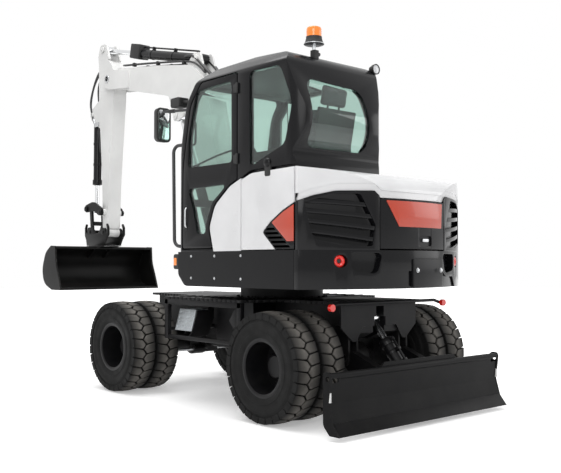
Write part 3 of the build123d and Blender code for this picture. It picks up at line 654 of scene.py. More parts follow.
def new_group(
    name: str, inputs: dict[str, float], outputs: Sequence[str]
) -> tuple[Tree, Sockets, Sockets]:
    """Empty shader node group with float sockets.

    Args:
        name: Name of the group.
        inputs: Default value by input name.
        outputs: Names of the outputs.

    Returns:
        The group, its input sockets and its output sockets, by name.
    """
    tree = bpy.data.node_groups.new(name, "ShaderNodeTree")
    for label, value in inputs.items():
        made = tree.interface.new_socket(label, in_out="INPUT", socket_type="NodeSocketFloat")
        made.default_value = value
    for label in outputs:
        tree.interface.new_socket(label, in_out="OUTPUT", socket_type="NodeSocketFloat")
    ins = tree.nodes.new("NodeGroupInput")
    outs = tree.nodes.new("NodeGroupOutput")
    sockets = [
        {socket.name: socket for socket in end if socket.name} for end in (ins.outputs, outs.inputs)
    ]
    return tree, sockets[0], sockets[1]


def object_place(tree: Tree) -> Socket:
    """Object coordinates."""
    return node(tree, "TexCoord").outputs["Object"]


def noise(
    tree: Tree, place: Socket, scale: Socket | float, detail: float, rough: float = 0.5
) -> Socket:
    """Noise between 0 and 1 over a place."""
    feeds = {"Vector": place, "Scale": scale, "Detail": detail, "Roughness": rough}
    return node(tree, "TexNoise", feeds=feeds).outputs["Fac"]


def bumped(tree: Tree, height: Socket, strength: float, distance: float) -> Socket:
    """Normal pushed about by a height."""
    feeds = {"Strength": strength, "Distance": distance, "Height": height}
    return node(tree, "Bump", feeds=feeds).outputs["Normal"]


def measure(tree: Tree, operation: str, feeds: dict) -> Socket:
    """Number that a Vector Math node gives."""
    return node(tree, "VectorMath", {"operation": operation}, feeds).outputs["Value"]


def product(tree: Tree, first: Socket | float, second: Socket | float) -> Socket:
    """Product of two values."""
    return calc(tree, "MULTIPLY", first, second)


class Effects:
    """Node groups that several finishes share, each built once."""

    def __init__(self) -> None:
        """Build the groups."""
        self.mottle = self._mottle()
        self.edge = self._edge()
        self.dust = self._dust()

    @staticmethod
    def _mottle() -> Tree:
        """Slow cloudiness and fine grain of a surface."""
        tree, ins, outs = new_group(
            "Mottle", {"Cloud Scale": 3.0, "Grain Scale": 300.0}, ("Cloud", "Grain")
        )
        place = object_place(tree)
        tree.links.new(
            ramp(tree, noise(tree, place, ins["Cloud Scale"], 3.0), 0.3, 0.7), outs["Cloud"]
        )
        tree.links.new(noise(tree, place, ins["Grain Scale"], 2.0), outs["Grain"])
        return tree

    @staticmethod
    def _edge() -> Tree:
        """Mask that is 1 on worn edges, broken up by noise."""
        tree, ins, outs = new_group("Edge Wear", {"Radius": 0.004, "Amount": 0.5}, ("Mask",))
        smooth = node(tree, "Bevel", {"samples": 4}, {"Radius": ins["Radius"]}).outputs["Normal"]
        plain = node(tree, "NewGeometry").outputs["Normal"]
        likeness = measure(tree, "DOT_PRODUCT", {0: smooth, 1: plain})
        sharp = ramp(tree, likeness, 0.995, 0.9)
        broken = ramp(tree, noise(tree, object_place(tree), 28.0, 6.0, 0.65), 0.48, 0.62)
        tree.links.new(product(tree, product(tree, sharp, broken), ins["Amount"]), outs["Mask"])
        return tree

    @staticmethod
    def _dust() -> Tree:
        """Mask of thin dust: more near the ground, on faces that look up and in patches."""
        tree, ins, outs = new_group("Dust", {"Height": 0.9, "Amount": 0.3}, ("Mask",))
        place = object_place(tree)
        height = node(tree, "SeparateXYZ", feeds={0: place}).outputs["Z"]
        low = calc(tree, "SUBTRACT", 1.0, calc(tree, "DIVIDE", height, ins["Height"]))
        normal = node(tree, "NewGeometry").outputs["Normal"]
        upward = ramp(tree, node(tree, "SeparateXYZ", feeds={0: normal}).outputs["Z"], 0.2, 1.0)
        patch = ramp(tree, noise(tree, place, 6.0, 8.0, 0.6), 0.35, 0.7)
        feeds = {0: low, 1: product(tree, upward, 0.6)}
        lying = node(tree, "Math", {"operation": "ADD", "use_clamp": True}, feeds).outputs[0]
        tree.links.new(product(tree, product(tree, lying, patch), ins["Amount"]), outs["Mask"])
        return tree


def group_node(tree: Tree, group: Tree, feeds: dict[str, float]) -> bpy.types.Node:
    """Shared group placed in a tree with its own values."""
    return node(tree, "Group", {"node_tree": group}, feeds)


EFFECTS = Effects()
DUST_COLOUR: Colour = (0.30, 0.28, 0.25)
BARE_STEEL: Colour = (0.34, 0.33, 0.32)
LINT: Colour = (0.07, 0.07, 0.075)


@dataclass
class Finish:
    """A finish of the machine: its material is built when it is first used."""

    name: str
    slot: str
    made: bpy.types.Material | None = field(default=None, repr=False)

    @property
    def material(self) -> bpy.types.Material:
        """The finish's material."""
        if self.made is None:
            self.made = bpy.data.materials.new(self.name)
            self.made.use_nodes = True
            self.made.node_tree.nodes.clear()
            self.build(self.made.node_tree)
        return self.made

    def build(self, tree: Tree) -> None:
        """Build the nodes.

        Args:
            tree: Empty node tree of the material.
        """
        raise NotImplementedError

    @staticmethod
    def surface(tree: Tree, feeds: dict) -> bpy.types.Node:
        """Principled shader on the material's output."""
        shader = node(tree, "BsdfPrincipled", feeds=feeds)
        out = node(tree, "OutputMaterial")
        tree.links.new(shader.outputs[0], out.inputs["Surface"])
        return shader


@dataclass
class Paint(Finish):
    """Sprayed paint on metal: orange peel, slight cloudiness, dust and bare edges."""

    colour: Colour = (0.8, 0.8, 0.8)
    roughness: float = 0.35
    coat: float = 0.0
    specular: float = 0.4
    peel: float = 0.15
    wear: float = 0.0
    dust: float = 0.15
    dust_height: float = 0.9

    def build(self, tree: Tree) -> None:
        """Build the paint's nodes.

        Args:
            tree: Empty node tree of the material.
        """
        mottle = group_node(tree, EFFECTS.mottle, {"Cloud Scale": 2.2, "Grain Scale": 220.0})
        feeds = {"Height": self.dust_height, "Amount": self.dust}
        dust = group_node(tree, EFFECTS.dust, feeds).outputs["Mask"]
        darker = tuple(channel * 0.86 for channel in self.colour)
        colour = blend_colours(tree, mottle.outputs["Cloud"], darker, self.colour)
        colour = blend_colours(tree, dust, colour, DUST_COLOUR)
        rough = ramp(
            tree, mottle.outputs["Cloud"], 0.0, 1.0, self.roughness * 1.15, self.roughness * 0.9
        )
        rough = calc(tree, "ADD", rough, product(tree, dust, 0.5))
        metallic: Socket | float = 0.0
        if self.wear:
            feeds = {"Radius": 0.004, "Amount": self.wear}
            edge = group_node(tree, EFFECTS.edge, feeds).outputs["Mask"]
            colour = blend_colours(tree, edge, colour, BARE_STEEL)
            metallic = product(tree, edge, 0.8)
        normal = bumped(tree, mottle.outputs["Grain"], self.peel, 0.0006)
        feeds = {
            "Base Color": colour, "Roughness": rough, "Metallic": metallic, "Normal": normal,
            "Coat Weight": self.coat, "Coat Roughness": 0.06, "Specular IOR Level": self.specular
        }
        self.surface(tree, feeds)


@dataclass
class Metal(Finish):
    """Bare metal: chrome, machined steel or galvanised plate."""

    colour: Colour = (0.8, 0.8, 0.8)
    roughness: float = 0.15
    cloud: float = 0.3
    grain: float = 180.0
    peel: float = 0.05

    def build(self, tree: Tree) -> None:
        """Build the metal's nodes.

        Args:
            tree: Empty node tree of the material.
        """
        place = object_place(tree)
        fine = noise(tree, place, self.grain, 4.0)
        spangle = node(tree, "TexVoronoi", feeds={"Vector": place, "Scale": 90.0}).outputs["Color"]
        grey = node(tree, "SeparateColor", feeds={0: spangle}).outputs[0]
        darker = tuple(channel * 0.55 for channel in self.colour)
        colour = blend_colours(tree, product(tree, grey, self.cloud), self.colour, darker)
        rough = calc(tree, "ADD", self.roughness, product(tree, fine, self.roughness * 0.6))
        normal = bumped(tree, fine, self.peel, 0.0004)
        self.surface(
            tree, {"Base Color": colour, "Roughness": rough, "Metallic": 1.0, "Normal": normal}
        )


@dataclass
class Rubber(Finish):
    """Tyre rubber: matt and dark, its lug tops a lighter grey."""

    colour: Colour = (0.011, 0.011, 0.011)
    tread: Colour = (0.165, 0.155, 0.142)

    def build(self, tree: Tree) -> None:
        """Build the rubber's nodes.

        Args:
            tree: Empty node tree of the material.
        """
        mottle = group_node(tree, EFFECTS.mottle, {"Cloud Scale": 14.0, "Grain Scale": 420.0})
        # The lug tops, marked by the tread attribute, are painted a lighter grey than the rest.
        worn = node(tree, "Attribute", {"attribute_name": "tread"}).outputs["Fac"]
        grey = product(tree, worn, ramp(tree, mottle.outputs["Cloud"], 0.0, 1.0, 0.55, 1.0))
        colour = blend_colours(tree, grey, self.colour, self.tread)
        rough = ramp(tree, mottle.outputs["Cloud"], 0.0, 1.0, 0.62, 0.8)
        normal = bumped(tree, mottle.outputs["Grain"], 0.35, 0.0008)
        self.surface(
            tree,
            {"Base Color": colour, "Roughness": rough, "Normal": normal, "Specular IOR Level": 0.15}
        )


@dataclass
class Glazing(Finish):
    """Tinted safety glass."""

    colour: Colour = (0.60, 0.74, 0.69)

    def build(self, tree: Tree) -> None:
        """Build the glass.

        Args:
            tree: Empty node tree of the material.
        """
        mottle = group_node(tree, EFFECTS.mottle, {"Cloud Scale": 1.2, "Grain Scale": 60.0})
        lighter = tuple(min(1.0, channel * 1.05) for channel in self.colour)
        colour = blend_colours(tree, mottle.outputs["Cloud"], self.colour, lighter)
        shader = self.surface(
            tree, {"Base Color": colour, "Roughness": 0.02, "Transmission Weight": 1.0, "IOR": 1.45}
        )
        clear = node(tree, "BsdfTransparent", feeds={"Color": (*self.colour, 1.0)})
        shadow = node(tree, "LightPath").outputs["Is Shadow Ray"]
        mixed = node(
            tree, "MixShader", feeds={0: shadow, 1: shader.outputs[0], 2: clear.outputs[0]}
        )
        out = next(n for n in tree.nodes if n.bl_idname == "ShaderNodeOutputMaterial")
        tree.links.new(mixed.outputs[0], out.inputs["Surface"])


@dataclass
class Plastic(Finish):
    """Moulded plastic with a fine leather grain."""

    colour: Colour = (0.03, 0.03, 0.032)
    roughness: float = 0.5
    grain: float = 500.0
    relief: float = 0.25
    glow: float = 0.0
    coat: float = 0.0

    def build(self, tree: Tree) -> None:
        """Build the plastic's nodes.

        Args:
            tree: Empty node tree of the material.
        """
        feeds = {"Vector": object_place(tree), "Scale": self.grain}
        cells = node(tree, "TexVoronoi", {"feature": "DISTANCE_TO_EDGE"}, feeds).outputs["Distance"]
        mottle = group_node(tree, EFFECTS.mottle, {"Cloud Scale": 5.0, "Grain Scale": 200.0})
        darker = tuple(channel * 0.8 for channel in self.colour)
        colour = blend_colours(tree, mottle.outputs["Cloud"], darker, self.colour)
        rough = ramp(
            tree, mottle.outputs["Cloud"], 0.0, 1.0, self.roughness * 1.1, self.roughness * 0.9
        )
        normal = bumped(tree, cells, self.relief, 0.0005)
        feeds = {
            "Base Color": colour, "Roughness": rough, "Normal": normal, "Coat Weight": self.coat,
            "Emission Color": (*self.colour, 1.0), "Emission Strength": self.glow
        }
        self.surface(tree, feeds)


@dataclass
class Cloth(Finish):
    """Woven seat cloth."""

    colour: Colour = (0.035, 0.035, 0.04)
    thread: float = 700.0

    def build(self, tree: Tree) -> None:
        """Build the cloth's nodes.

        Args:
            tree: Empty node tree of the material.
        """
        feeds = {"Vector": object_place(tree), "Scale": self.thread / 6, "Distortion": 0.4}
        threads = [
            node(tree, "TexWave", {"bands_direction": way}, feeds).outputs["Fac"]
            for way in ("Y", "Z")
        ]
        weave = calc(tree, "MAXIMUM", *threads)
        mottle = group_node(tree, EFFECTS.mottle, {"Cloud Scale": 9.0, "Grain Scale": 300.0})
        darker = tuple(channel * 0.6 for channel in self.colour)
        colour = blend_colours(tree, weave, darker, self.colour)
        colour = blend_colours(tree, product(tree, mottle.outputs["Cloud"], 0.25), colour, LINT)
        normal = bumped(tree, weave, 0.5, 0.0008)
        feeds = {"Base Color": colour, "Roughness": 0.92, "Normal": normal, "Sheen Weight": 0.4,
                 "Sheen Roughness": 0.5, "Specular IOR Level": 0.2}
        self.surface(tree, feeds)


WHITE: Colour = (0.80, 0.80, 0.81)
RED: Colour = (0.56, 0.055, 0.022)


class Palette:
    """Finishes of the machine."""

    white = Paint(
        "gloss_white_paint", "body_white", colour=WHITE, roughness=0.24, coat=0.45, dust=0.05
    )
    boom = Paint(
        "boom_white_paint", "boom_white", colour=(0.78, 0.78, 0.77), roughness=0.3, coat=0.3,
        dust=0.05
    )
    panel = Paint(
        "panel_black_paint", "body_black", colour=(0.009, 0.009, 0.010), roughness=0.34, coat=0.03,
        specular=0.12, dust=0.02
    )
    gloss = Paint(
        "gloss_black_moulding", "body_black", colour=(0.006, 0.006, 0.007), roughness=0.14,
        coat=0.05, specular=0.16, dust=0.01
    )
    chassis = Paint(
        "chassis_black_paint", "chassis_black", colour=(0.007, 0.007, 0.008), roughness=0.42,
        specular=0.14, wear=0.25, dust=0.07
    )
    tool = Paint(
        "attachment_black_paint", "attachment_black", colour=(0.007, 0.007, 0.007), roughness=0.38,
        specular=0.14, wear=0.35, dust=0.03, dust_height=1.6
    )
    cab = Paint(
        "cab_black_paint", "body_black", colour=(0.007, 0.007, 0.008), roughness=0.22, coat=0.04,
        specular=0.16, dust=0.01
    )
    blade = Paint(
        "blade_black_paint", "chassis_black", colour=(0.006, 0.006, 0.0065), roughness=0.4,
        coat=0.0, specular=0.08, wear=0.1, dust=0.015
    )
    mirror = Metal(
        "mirror_glass", "chrome", colour=(0.80, 0.82, 0.83), roughness=0.03, cloud=0.02, peel=0.0
    )
    reflector = Plastic(
        "white_reflector", "plastic_black", colour=(0.78, 0.78, 0.77), roughness=0.3, relief=0.2
    )
    red_panel = Paint(
        "red_panel_paint", "body_black", colour=RED, roughness=0.3, coat=0.3, dust=0.02
    )
    rim = Paint(
        "rim_black_paint", "rim_black", colour=(0.006, 0.006, 0.007), roughness=0.34, specular=0.2,
        dust=0.03
    )
    ram = Paint(
        "cylinder_black_paint", "cylinder_black", colour=(0.007, 0.007, 0.008), roughness=0.3,
        coat=0.05, specular=0.2, dust=0.02
    )
    engine = Paint(
        "engine_grey_paint", "engine_grey", colour=(0.16, 0.17, 0.18), roughness=0.55, dust=0.2,
        dust_height=2.0
    )
    rubber = Rubber("tyre_rubber", "tyre")
    chrome = Metal("hard_chrome", "chrome", colour=(0.74, 0.75, 0.76), roughness=0.1, cloud=0.05)
    steel = Metal("machined_steel", "steel", colour=(0.52, 0.53, 0.54), roughness=0.28, cloud=0.1)
    galvanised = Metal(
        "galvanised_plate", "galvanised", colour=(0.50, 0.53, 0.55), roughness=0.38, cloud=0.5,
        peel=0.1
    )
    glass = Glazing("tinted_glass", "glass")
    cloth = Cloth("seat_cloth", "seat_fabric")
    plastic = Plastic("black_plastic", "plastic_black")
    seal = Plastic(
        "black_seal", "plastic_black", colour=(0.012, 0.012, 0.012), roughness=0.62, relief=0.1
    )
    hose = Plastic(
        "hose_rubber", "plastic_black", colour=(0.016, 0.016, 0.017), roughness=0.45, grain=900.0
    )
    orange = Plastic(
        "orange_lens", "lamp_orange", colour=(0.95, 0.24, 0.015), roughness=0.14, relief=0.05,
        glow=0.25, coat=0.6
    )
    red = Plastic(
        "red_lens", "lamp_red", colour=(0.62, 0.018, 0.012), roughness=0.12, relief=0.05, glow=0.3,
        coat=0.6
    )
    clear = Plastic(
        "clear_lens", "plastic_black", colour=(0.75, 0.76, 0.78), roughness=0.08, relief=0.05,
        coat=0.7
    )


# ---- CAD nodes ----------------------------------------------------------
class Solids:
    """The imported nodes, each dressed in place."""

    by_slot = {
        "body_white": Palette.white, "boom_white": Palette.boom, "body_black": Palette.panel,
        "chassis_black": Palette.chassis, "attachment_black": Palette.tool,
        "rim_black": Palette.rim, "cylinder_black": Palette.ram, "engine_grey": Palette.engine,
        "tyre": Palette.rubber, "chrome": Palette.chrome, "steel": Palette.steel,
        "galvanised": Palette.galvanised, "glass": Palette.glass, "seat_fabric": Palette.cloth,
        "plastic_black": Palette.plastic, "lamp_orange": Palette.orange, "lamp_red": Palette.red,
    }
    by_node = {"skirts": Palette.panel, "blade": Palette.blade, "upper_frame": Palette.panel}

    def dress(self) -> None:
        """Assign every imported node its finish."""
        for part in frame["record"]["subparts"]:
            finish = self.by_node.get(part["node"], self.by_slot[part["material_slot"]])
            for place in frame["nodes"][part["node"]].material_slots:
                place.material = finish.material


# ---- tail ---------------------------------------------------------------
@dataclass
class Tail:
    """Hood, louvred corners, rear door and cast weight behind the cab."""

    slew_x: float = -220.0
    radius: float = 1510.0
    side_y: float = 920.0
    skin: float = 30.0
    corner_x: float = -1376.0
    floor: float = 988.0
    band: float = 1262.0
    crown: float = 1858.0
    door_edge: float = 365.0
    slats: int = 5
    slat_top: float = 1622.0
    slat_step: float = 67.0
    slat_depth: float = 44.0
    lamp: Corner = (659.0, 1183.0)
    behind: float = -1900.0
    door_reach: Corner = (-1900.0, -1450.0)
    crease_rise: float = 52.0

    @property
    def black(self) -> Rounded:
        """Outline (y, z) of the black part below the hood's swept edge."""
        half = [
            (940, self.band - 1), (940, 1597), (827, 1645), (693, 1678, 150), (412, 1687),
            (351, 1639)
        ]
        return half + [(-corner[0], *corner[1:]) for corner in reversed(half)]

    def plan(self, inset: float, low: float, high: float, front: float) -> Piece:
        """Upper's plan with its round tail, swept upwards."""
        side, radius = self.side_y - inset, self.radius - inset
        sweep = math.asin(side / radius)
        turns = [math.pi - sweep + 2 * sweep * i / 44 for i in range(45)]
        arc = [(self.slew_x + radius * math.cos(turn), radius * math.sin(turn)) for turn in turns]
        return slab("plan", [(front, side), *arc, (front, -side)], Axis.Z, low, high)

    def volume(self, inset: float) -> Piece:
        """Engine cover's volume, crowned down towards the tail."""
        top, back = self.crown - inset, self.slew_x - self.radius + inset - 30
        low = self.band
        view = [
            (-500, low - 1), (-500, top - 60, 60), (-1330, top, 300), (-1640, top - 45, 200),
            (back, 1560), (back, low - 1),
        ]
        across = [
            (1000, low - 2), (1000, 2000), (-700, 2000), (-705, top + 12, 200),
            (-self.side_y - 14 + inset, 1700, 160), (-self.side_y - 14 + inset, low - 2)
        ]
        return common(self.plan(inset, low, 2000, -600), slab("view", view, Axis.Y, -1000, 1000),
                      slab("across", across, Axis.X, self.behind, -500))

    def layer(self, outer: float, inner: float) -> Piece:
        """Shell between two insets of the cover's volume."""
        return carved(self.volume(outer), self.volume(inner))

    def shell(self) -> Piece:
        """Skin of the cover behind the side door's line."""
        side = brick("side", (self.corner_x - 14, 0), (-94, 1000), (1200, 2000))
        return carved(
            self.layer(0, self.skin), side, brick("front", (-940, 0), (-1000, 1000), (1200, 2000))
        )

    def hood(self) -> None:
        """White hood with its swept lower edge and a soft crease above it."""
        raised = [
            (y, z + self.crease_rise if z > self.band else z, *rest) for y, z, *rest in self.black
        ]
        crease = common(
            self.layer(-6, 9), slab("crease", raised, Axis.X, self.behind, self.corner_x - 14)
        )
        hood = carved(
            self.shell(), slab("black", self.black, Axis.X, self.behind, self.corner_x - 14), crease
        )
        dress(eased(hood, 0.006, 3), "upper", Palette.white, ["hood"], name="white_hood")

    def recess(self) -> Rounded:
        """Outline (y, z) of the louvre's recess."""
        return [
            (884, 1596), (700, 1656, 100), (520, 1662, 30), (402, 1440, 30), (428, 1290, 20),
            (640, 1292), (822, 1330, 20), (850, 1400, 200),
        ]

    def louvre(self) -> Piece:
        """Left corner panel: curved slats across a deep recess."""
        region = slab("region", self.black, Axis.X, self.behind, self.corner_x - 14)
        half = brick("half", (self.behind, 0), (self.door_edge + 6, 1000), (1200, 1700))
        panel = common(self.layer(0, self.slat_depth + 10), region, half)
        hollow = common(
            self.layer(-5, self.slat_depth),
            slab("recess", self.recess(), Axis.X, self.behind, self.corner_x - 24)
        )
        panel = eased(carved(panel, hollow), 0.005, 2)
        bars = []
        for i in range(self.slats):
            left = self.slat_top - self.slat_step * i
            right = left - 28 - 15 * i
            view = [(960, left + 4), (380, right), (380, right - 30), (960, left - 26)]
            recess = slab("recess", self.recess(), Axis.X, self.behind, self.corner_x - 24)
            lath = common(
                self.layer(4, self.slat_depth + 2), recess,
                slab("lath", view, Axis.X, self.behind, -1380)
            )
            bars.append(eased(lath, 0.006, 2))
        return joined("louvre", [panel, *bars])

    def corners(self) -> None:
        """Both louvred corners, the right one mirrored."""
        left = self.louvre()
        right = copied(left, Matrix.Scale(-1, 4, (0, 1, 0)))
        dress(left, "upper", Palette.gloss, ["louvre_left"], name="left_louvre")
        dress(right, "upper", Palette.gloss, ["grille_right"], name="right_louvre")

    def door(self) -> None:
        """Rear door with its latch recess, slot latch and blank red panel."""
        edge = self.door_edge
        view = [(edge, 1272), (edge, 1633), (-edge, 1633), (-edge, 1272)]
        door = common(self.shell(), slab("door", view, Axis.X, *self.door_reach))
        latch = [(-14, 1372, 20), (-174, 1372, 20), (-174, 1296, 20), (-14, 1296, 20)]
        cup = common(self.layer(-5, 14), slab("latch", latch, Axis.X, *self.door_reach))
        dress(
            eased(carved(door, cup), 0.003, 2), "rear_door", Palette.panel, ["rear_door"],
            name="rear_door_panel"
        )
        red = [(316, 1622, 6), (-337, 1622, 6), (-322, 1434, 6), (196, 1434, 6)]
        panel = common(self.layer(-4, 2), slab("panel", red, Axis.X, *self.door_reach))
        dress(eased(panel, 0.0015, 2), "rear_door", Palette.red_panel, name="rear_red_panel")
        grip = [(-62, 1350, 9), (-140, 1350, 9), (-140, 1328, 9), (-62, 1328, 9)]
        lever = common(self.layer(2, 15), slab("lever", grip, Axis.X, *self.door_reach))
        dress(eased(lever, 0.002, 2), "rear_door", Palette.steel, name="rear_latch_lever")

    def weight(self) -> None:
        """Cast weight with ring lamp pockets, hand recesses, lower step and coupling plate."""
        low = self.floor
        ring = carved(
            self.plan(0, low - 4, self.band, self.corner_x),
            self.plan(190, low - 5, self.band + 1, 0), self.plan(56, low - 5, low + 41, 0)
        )
        half = [(620, low - 5), (560, 1066), (415, 1066), (325, 1112)]
        step = half + [(-y, z) for y, z in reversed(half)]
        ring = carved(ring, self.face(-5, 14, step))
        for side in Side:
            sign = side.value
            hand = [
                (sign * 585, 1242, 30), (sign * 345, 1242, 30), (sign * 390, 1090, 50),
                (sign * 590, 1116, 50)
            ]
            y, z = sign * self.lamp[0], self.lamp[1]
            ring = carved(
                ring, self.face(-5, 50, hand), stick("pocket", (-1400, y, z), (-1800, y, z), 46, 40)
            )
        dress(eased(ring, 0.008, 3), "upper", Palette.gloss, ["counterweight"], name="tail_weight")
        for side in Side:
            self.tail_lamp(side)
        flap = self.face(
            -10, 12, [(64, low + 6, 8), (64, 1199, 8), (-330, 1199, 8), (-330, low + 6, 8)]
        )
        dress(eased(flap, 0.002, 2), "upper", Palette.panel, name="coupling_plate")
        bolts = [facing(Vector((-1, 0, 0)), at(-1.7382, y, 1.117)) for y in (0.014, -0.262)]
        dress(spread("coupling_plate_bolts", hex_bolt(0.013, 0.009), bolts), "upper", Palette.steel)

    def face(self, outer: float, inner: float, view: Rounded) -> Piece:
        """Part of the tail's wall between two insets, inside a (y, z) outline."""
        low, high = self.floor - 5, self.band + 1
        layer = carved(
            self.plan(outer, low, high, self.corner_x),
            self.plan(inner, low - 1, high + 1, self.corner_x + 1)
        )
        return common(layer, slab("view", view, Axis.X, -2000, -1400))

    def tail_lamp(self, side: Side) -> None:
        """Red ring lamp with a dark middle, sunk in its pocket."""
        y, z = self.lamp
        depth = self.slew_x - math.sqrt(self.radius ** 2 - y ** 2)
        section = [
            (0.0, 0.016), (0.012, 0.018), (0.020, 0.026), (0.020, 0.034), (0.012, 0.042),
            (-0.012, 0.043), (-0.012, 0.016)
        ]
        out = Vector((-1, side.value * 0.45, 0)).normalized()
        place = at((depth + 24) * MM, side.value * y * MM, z * MM)
        dress(
            standing(lathe(f"tail_lamp_{side.word}", section, 40), out, place), "upper", Palette.red
        )
        section = [
            (-0.02, 0.0), (0.004, 0.0), (0.004, 0.015), (-0.012, 0.017), (-0.02, 0.047),
            (-0.03, 0.047), (-0.03, 0.0)
        ]
        dress(
            standing(lathe(f"tail_lamp_rim_{side.word}", section, 40), out, place), "upper",
            Palette.seal
        )

    def build(self) -> None:
        """Make the whole tail."""
        self.hood()
        self.corners()
        self.door()
        self.weight()


# ---- side covers --------------------------------------------------------
@dataclass
class SideCovers:
    """Service door on the left with its vent and red corner, and catches."""

    face: float = 920.0
    skin: float = 30.0
    low: float = 1262.0

    def door(self) -> None:
        """White door, its slatted black vent and the blank red corner."""
        low, face, skin = self.low, self.face, self.skin
        shape = [(-790, low + 6), (-790, 1796), (-905, 1838, 200), (-1374, 1848), (-1374, low + 6)]
        vent = [
            (-1173, low + 5), (-1032, 1394, 20), (-1121, 1469), (-1250, 1545, 200), (-1375, 1598),
            (-1375, low + 5)
        ]
        door = carved(
            slab("door", shape, Axis.Y, face - skin, face),
            slab("vent", vent, Axis.Y, face - skin - 1, face + 1)
        )
        dress(eased(door, 0.003, 2), "side_door", Palette.white, ["side_door"], name="service_door")
        inner = shrunk(vent, 2.0)
        filling = common(
            slab("filling", inner, Axis.Y, face - skin, face - 2),
            slab("shape", shape, Axis.Y, 800, 1000)
        )
        slats = []
        for i in range(5):
            z = 1280 + 32 * i
            view = [(-1178, 1272), (-1052, 1396), (-1126, 1452), (-1290, 1318), (-1345, 1272)]
            groove = brick("groove", (-1350, -1040), (face - skin - 1, face + 1), (z, z + 17))
            slats.append(common(groove, slab("view", view, Axis.Y, 880, 930)))
        red = [
            (-1134, 1462, 5), (-1250, 1531, 200), (-1372, 1584, 4), (-1372, 1322, 5),
            (-1300, 1322, 5)
        ]
        seat = slab("seat", red, Axis.Y, face - 10, face + 1)
        filling = carved(filling, *slats, seat)
        dress(
            eased(filling, 0.003, 2), "side_door", Palette.gloss, ["side_door_vent"],
            name="side_vent"
        )
        corner = slab("side_red_corner", shrunk(red, 1.5), Axis.Y, face - 12, face, 0.0015)
        dress(corner, "side_door", Palette.red_panel)

    def catches(self) -> None:
        """Two shallow framed catches over the seam ahead of the door."""
        frames = []
        for z in (1545, 1428):
            rim = [(-742, z + 18, 4), (-696, z + 18, 4), (-696, z - 18, 4), (-742, z - 18, 4)]
            outer = slab("catch", rim, Axis.Y, 916, 921)
            hollow = [(-738, z + 14, 3), (-700, z + 14, 3), (-700, z - 14, 3), (-738, z - 14, 3)]
            hole = slab("hole", hollow, Axis.Y, 919.6, 925)
            frames.append(eased(carved(outer, hole), 0.0006, 1))
        dress(joined("cover_catches", frames), "upper", Palette.white)

    def build(self) -> None:
        """Make the door and the catches."""
        self.door()
        self.catches()


